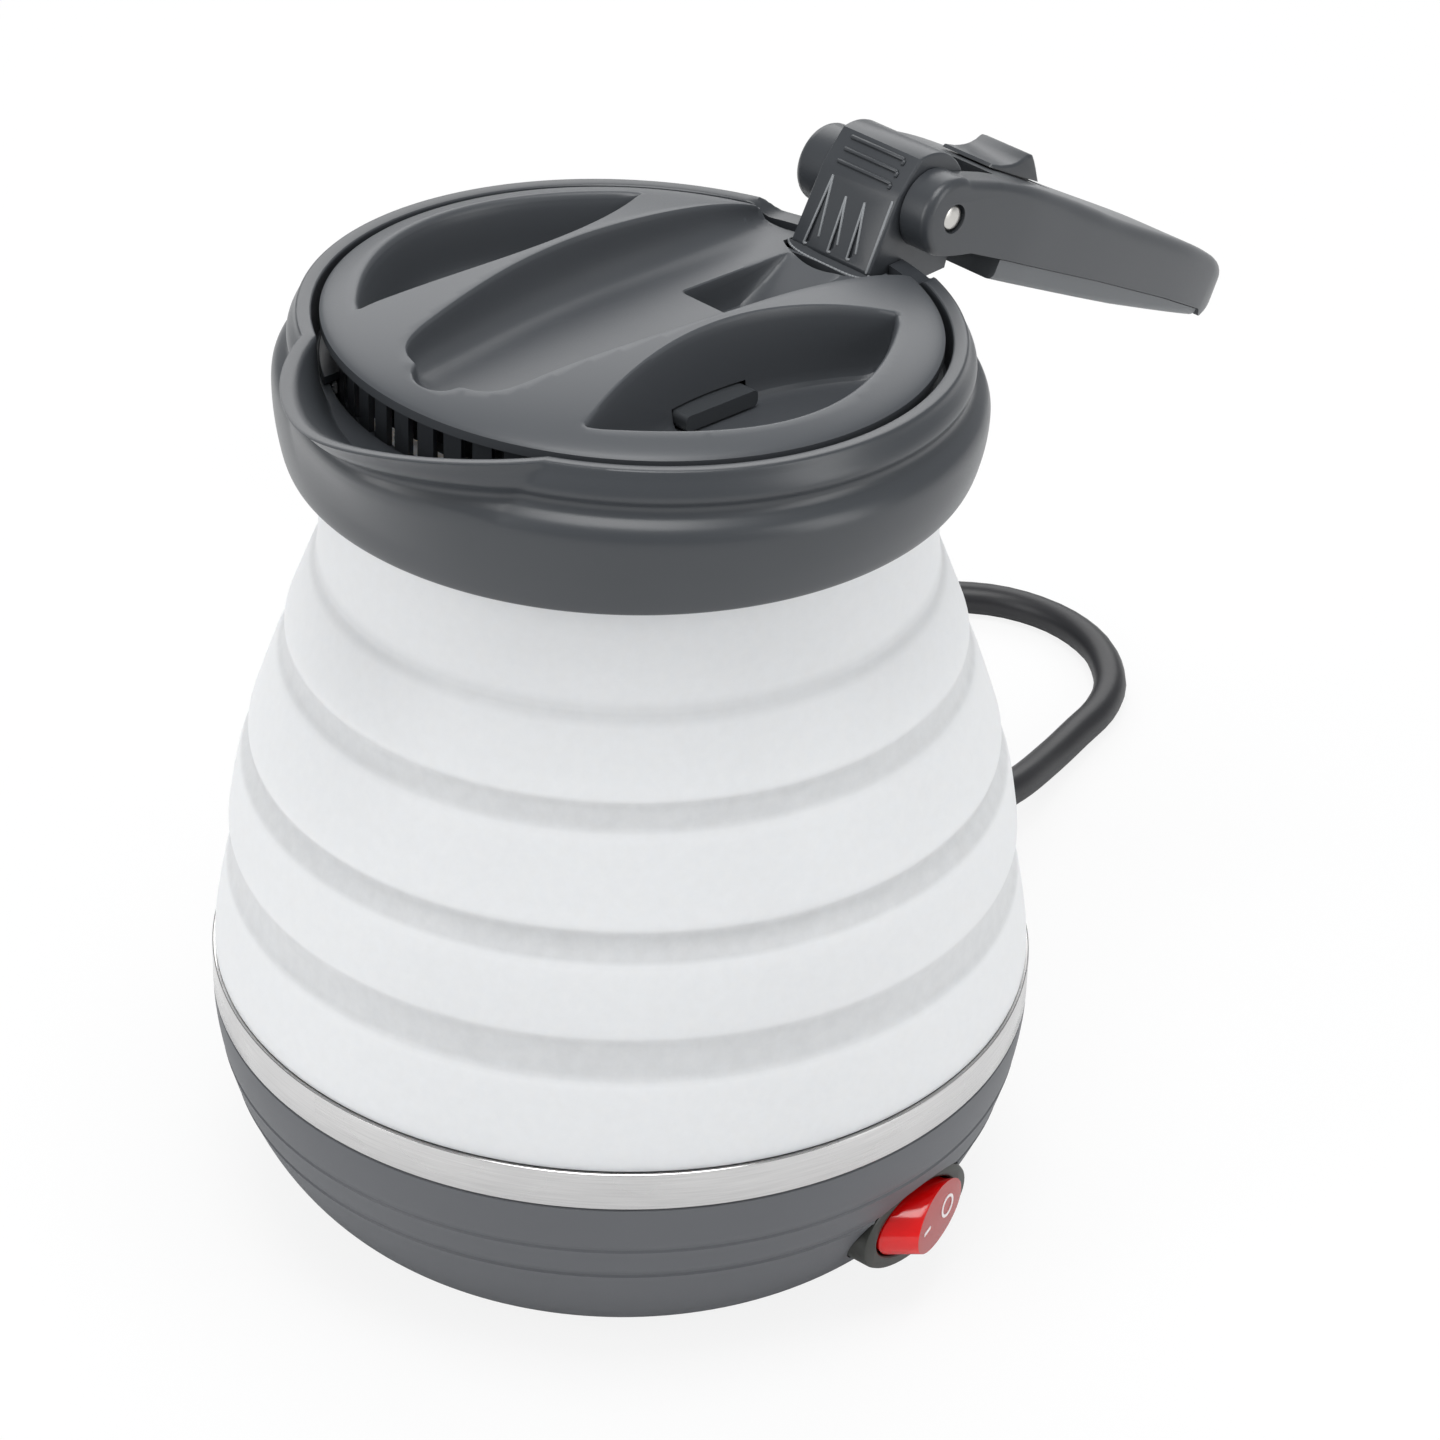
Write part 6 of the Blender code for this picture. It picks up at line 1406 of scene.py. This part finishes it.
for radius, low, high in ((0.0021, -0.02, 0.02), (0.0027, 0.0147, 0.02), (0.0027, -0.02, -0.0147)):
    pin_hole = extruded_rings("pin_hole", ((radius, low), (radius, high)), 48)
    pin_hole.data.transform(UPRIGHT_TO_Y)
    cut_away(handle_shell, pin_hole)
handle_shell.data.transform(handle_place)
smooth_over(handle_shell, 30)
handle_shell.data.materials.append(dark_grey_abs)
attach(handle_shell, "handle")
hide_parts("handle_shell")

# Handle cover: a shallow tray of lighter grey ABS that closes the handle's underside and snaps into its
# walls. Its lower edges are rounded.
COVER_LINE = (
    (0.0175, -0.0052), (0.0195, -0.00515), (0.0512, -0.0053), (0.0769, -0.006), (0.0928, -0.00695),
    (0.0928, -0.0085), (0.06, -0.0092), (0.0175, -0.0092),
)
handle_cover = profile_prism("handle_cover_strip", COVER_LINE, -HANDLE_HALF_WIDTH, HANDLE_HALF_WIDTH)
bevel_edges(handle_cover, lambda a, b: a.y * b.y > 0.0 and max(a.z, b.z) < -0.008, 0.0018, 5)
taper(handle_cover, 0.0004)
handle_cover.data.transform(handle_place)
smooth_over(handle_cover, 30)
light_grey_abs = moulded_abs("moulded_light_grey_abs", "#5c5f62", "#626568", 0.42)
handle_cover.data.materials.append(light_grey_abs)
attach(handle_cover, "handle")
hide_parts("handle_cover")

# Slider: the saddle-shaped ABS button that locks the handle. Its stem runs in the slot and its foot holds it
# in.
SLIDER_START = 0.01848
SLIDER_LENGTH = 0.0155
SLIDER_SEAT = 0.00895
SLIDER_HEIGHT = 0.004
SADDLE = (
    (0.0, 0.0), (0.02, 0.16), (0.1, 0.185), (0.2, 0.21), (0.3, 0.285), (0.4, 0.39), (0.48, 0.52),
    (0.56, 0.72), (0.61, 0.92), (0.64, 1.0), (0.71, 1.0), (0.78, 0.78), (0.86, 0.48), (0.94, 0.14),
    (1.0, -0.1),
)
saddle_line = [(SLIDER_START + SLIDER_LENGTH * a, SLIDER_SEAT + SLIDER_HEIGHT * b) for a, b in SADDLE]
slider = profile_prism("saddle_slider", saddle_line, -0.006, 0.006)
bevel_edges(slider, lambda a, b: abs(a.y - b.y) < 1e-6 and max(a.z, b.z) > SLIDER_SEAT + 0.0002, 0.0006, 3)
stem = cutting_box((0.02098, -0.0037, 0.0032), (0.0337, 0.0037, SLIDER_SEAT + 0.0004))
slider_foot = cutting_box((0.0209, -0.0056, 0.0032), (0.0336, 0.0056, 0.0045))
combine(slider, stem, "UNION")
combine(slider, slider_foot, "UNION")
slider.data.transform(handle_place)
smooth_over(slider, 30)
slider.data.materials.append(dark_grey_abs)
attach(slider, "slider")
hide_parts("handle_slider")

# Switch bezel: the oval housing of the rocker, glossy black-olive nylon that snaps into the base.
BEZEL_RIM = 0.0034
WELL_HALF_LENGTH = BEZEL_HALF_LENGTH - BEZEL_RIM
WELL_HALF_HEIGHT = 0.00623


def oval_tube(name, rows):
    """Extrudes an oval row by row; each row is (depth behind the face, half length, half height)."""
    piece = extruded_rings(name, [(1.0 + 0.0001 * index, float(index)) for index in range(len(rows))], 96)
    for vertex in piece.data.vertices:
        depth, half_length, half_height = rows[round(vertex.co.z)]
        reach = math.hypot(vertex.co.x, vertex.co.y)
        vertex.co = (half_length * vertex.co.x / reach, depth, half_height * vertex.co.y / reach)
    face_outwards(piece)
    return piece


def inset_rows(half_length, half_height, rows):
    """Rows of an oval, each of a depth and how far its edge lies inside the full oval."""
    return [(depth, half_length - inset, half_height - inset) for depth, inset in rows]


HOUSING_ROWS = ((0.018, 0.0015), (0.010, 0.0015), (0.010, 0.0), (0.0008, 0.0), (0.0003, 0.0002),
                (0.0, 0.0007))
WELL_ROWS = ((0.0095, 0.0), (0.0005, 0.0), (0.0002, -0.0001), (-0.0001, -0.0005), (-0.003, -0.0005))
switch_place = switch_turned @ Matrix.Translation((0.0, -SWITCH_FACE, SWITCH_Z))
bezel = oval_tube("switch_housing", inset_rows(BEZEL_HALF_LENGTH, BEZEL_HALF_HEIGHT, HOUSING_ROWS))
cut_away(bezel, oval_tube("switch_well", inset_rows(WELL_HALF_LENGTH, WELL_HALF_HEIGHT, WELL_ROWS)))
bezel.data.transform(switch_place)
smooth_over(bezel, 32)
black_nylon = moulded_abs("moulded_black_nylon", "#272924", "#2d2f2a", 0.3, 0.5)
bezel.data.materials.append(black_nylon)
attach(bezel, "base")
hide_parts("switch_bezel")

# Rocker: a clear red polycarbonate rocker, pressed in at its O end and standing proud at the other.
# Its marks are printed in white on the face; they say off and on in the usual way.
FACE_START = (-5.95, -5.15)
FACE_RUN = (17.9, 4.2)
FACE_BOW = 0.3
FACE_STEPS = 16


def face_point(share):
    """A point of the face's side view in mm, outwards being negative.
    The face runs from the proud end down to the pressed end, and is dished a little."""
    return (FACE_START[0] + FACE_RUN[0] * share,
            FACE_START[1] + FACE_RUN[1] * share + FACE_BOW * math.sin(math.pi * share))


rocker_line = [FACE_START] + [face_point(step / FACE_STEPS) for step in range(1, FACE_STEPS + 1)] + [
    (13.0, -0.7), (13.0, 6.4), (-13.0, 6.4), (-13.0, -5.15)]
ROCKER_ROWS = ((0.0035, 0.0097, 0.0058), (0.0012, 0.0105, 0.0059), (0.0, 0.0107, 0.0059),
               (-0.001, 0.0107, 0.0059), (-0.003, 0.0109, 0.00593), (-0.0065, 0.0115, 0.00595))
rocker = oval_tube("rocker_button", ROCKER_ROWS)
# The button leans towards its pressed end, so each level of the oval sits a little further along.
ROCKER_LEAN = 1.02
for vertex in rocker.data.vertices:
    vertex.co.x += max(0.0, -vertex.co.y) * ROCKER_LEAN
rocker_cut = profile_prism("rocker_side", in_metres(rocker_line), -0.0075, 0.0075)
rocker_cut.data.transform(Matrix(((1, 0, 0, 0), (0, 0, 1, 0), (0, 1, 0, 0), (0, 0, 0, 1))))
rocker_cut.data.flip_normals()
combine(rocker, rocker_cut, "INTERSECT")
apply_modifier(rocker, "BEVEL", width=0.0003, segments=3, limit_method="ANGLE", angle_limit=math.radians(35))
# Red polycarbonate: glossy, and clear enough for its edges to glow, over a paler moulded face.
red_polycarbonate, red_tree, red_shader, _, red_cloud = cloudy_finish(
    "glossy_red_polycarbonate",
    {"IOR": 1.58, "Subsurface Weight": 0.25, "Subsurface Radius": (1.0, 0.06, 0.04),
     "Subsurface Scale": 0.003}, "#e00506", "#f00a0c", 0.004)
red_rough = add_node(red_tree, "ShaderNodeMapRange", {"To Min": 0.1, "To Max": 0.16},
                     Value=red_cloud.outputs["Fac"])
red_tree.links.new(red_rough.outputs[0], red_shader.inputs["Roughness"])
red_face = red_polycarbonate.copy()
red_face.name = "satin_red_face"
face_tone = next(node for node in red_face.node_tree.nodes if node.bl_idname == "ShaderNodeMix")
face_tone.inputs[6].default_value = linear("#a83230")
face_tone.inputs[7].default_value = linear("#b43c3a")
white_print = cloudy_finish("white_pad_print", {"Roughness": 0.5}, "#f4e9e9", "#fbf5f5", 0.0006)[0]
for finish in (red_polycarbonate, red_face, white_print):
    rocker.data.materials.append(finish)
face_turn = Vector((FACE_RUN[1], -FACE_RUN[0])).normalized()
for polygon in rocker.data.polygons:
    if Vector((polygon.normal.x, polygon.normal.y)).dot(face_turn) > 0.97:
        polygon.material_index = 1
MARK_PROUD = 0.00008
MARK_THICKNESS = 0.00012
RING_X = 0.0062
RING_RADIUS = 0.00225
RING_BORE = 0.75
DASH_X = -0.00205
DASH_SIZE = (0.0027, 0.00056)
deselect()
bpy.ops.mesh.primitive_circle_add(vertices=48, radius=RING_RADIUS)
off_mark = bpy.context.object
bpy.ops.object.mode_set(mode="EDIT")
bpy.ops.mesh.select_all(action="SELECT")
bpy.ops.mesh.extrude_region_move()
bpy.ops.transform.resize(value=(RING_BORE, RING_BORE, 1.0), center_override=(0.0, 0.0, 0.0))
bpy.ops.object.mode_set(mode="OBJECT")
off_mark.data.transform(Matrix.Translation((RING_X, 0.0, 0.0)))
deselect()
bpy.ops.mesh.primitive_grid_add(x_subdivisions=12, y_subdivisions=2, size=1.0)
on_mark = bpy.context.object
on_mark.data.transform(Matrix.Translation((DASH_X, 0.0, 0.0)) @ Matrix.Diagonal((*DASH_SIZE, 1.0, 1.0)))
for mark in (off_mark, on_mark):
    for vertex in mark.data.vertices:
        depth = face_point((vertex.co.x * 1000 - FACE_START[0]) / FACE_RUN[0])[1] / 1000 - MARK_PROUD
        vertex.co = (vertex.co.x, depth, vertex.co.y)
    apply_modifier(mark, "SOLIDIFY", thickness=MARK_THICKNESS, offset=0.0)
    mark.data.materials.append(white_print)
pick(rocker, off_mark, on_mark)
bpy.ops.object.join()
rocker.data.transform(switch_place)
smooth_over(rocker, 28)
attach(rocker, "rocker")
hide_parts("switch_rocker")
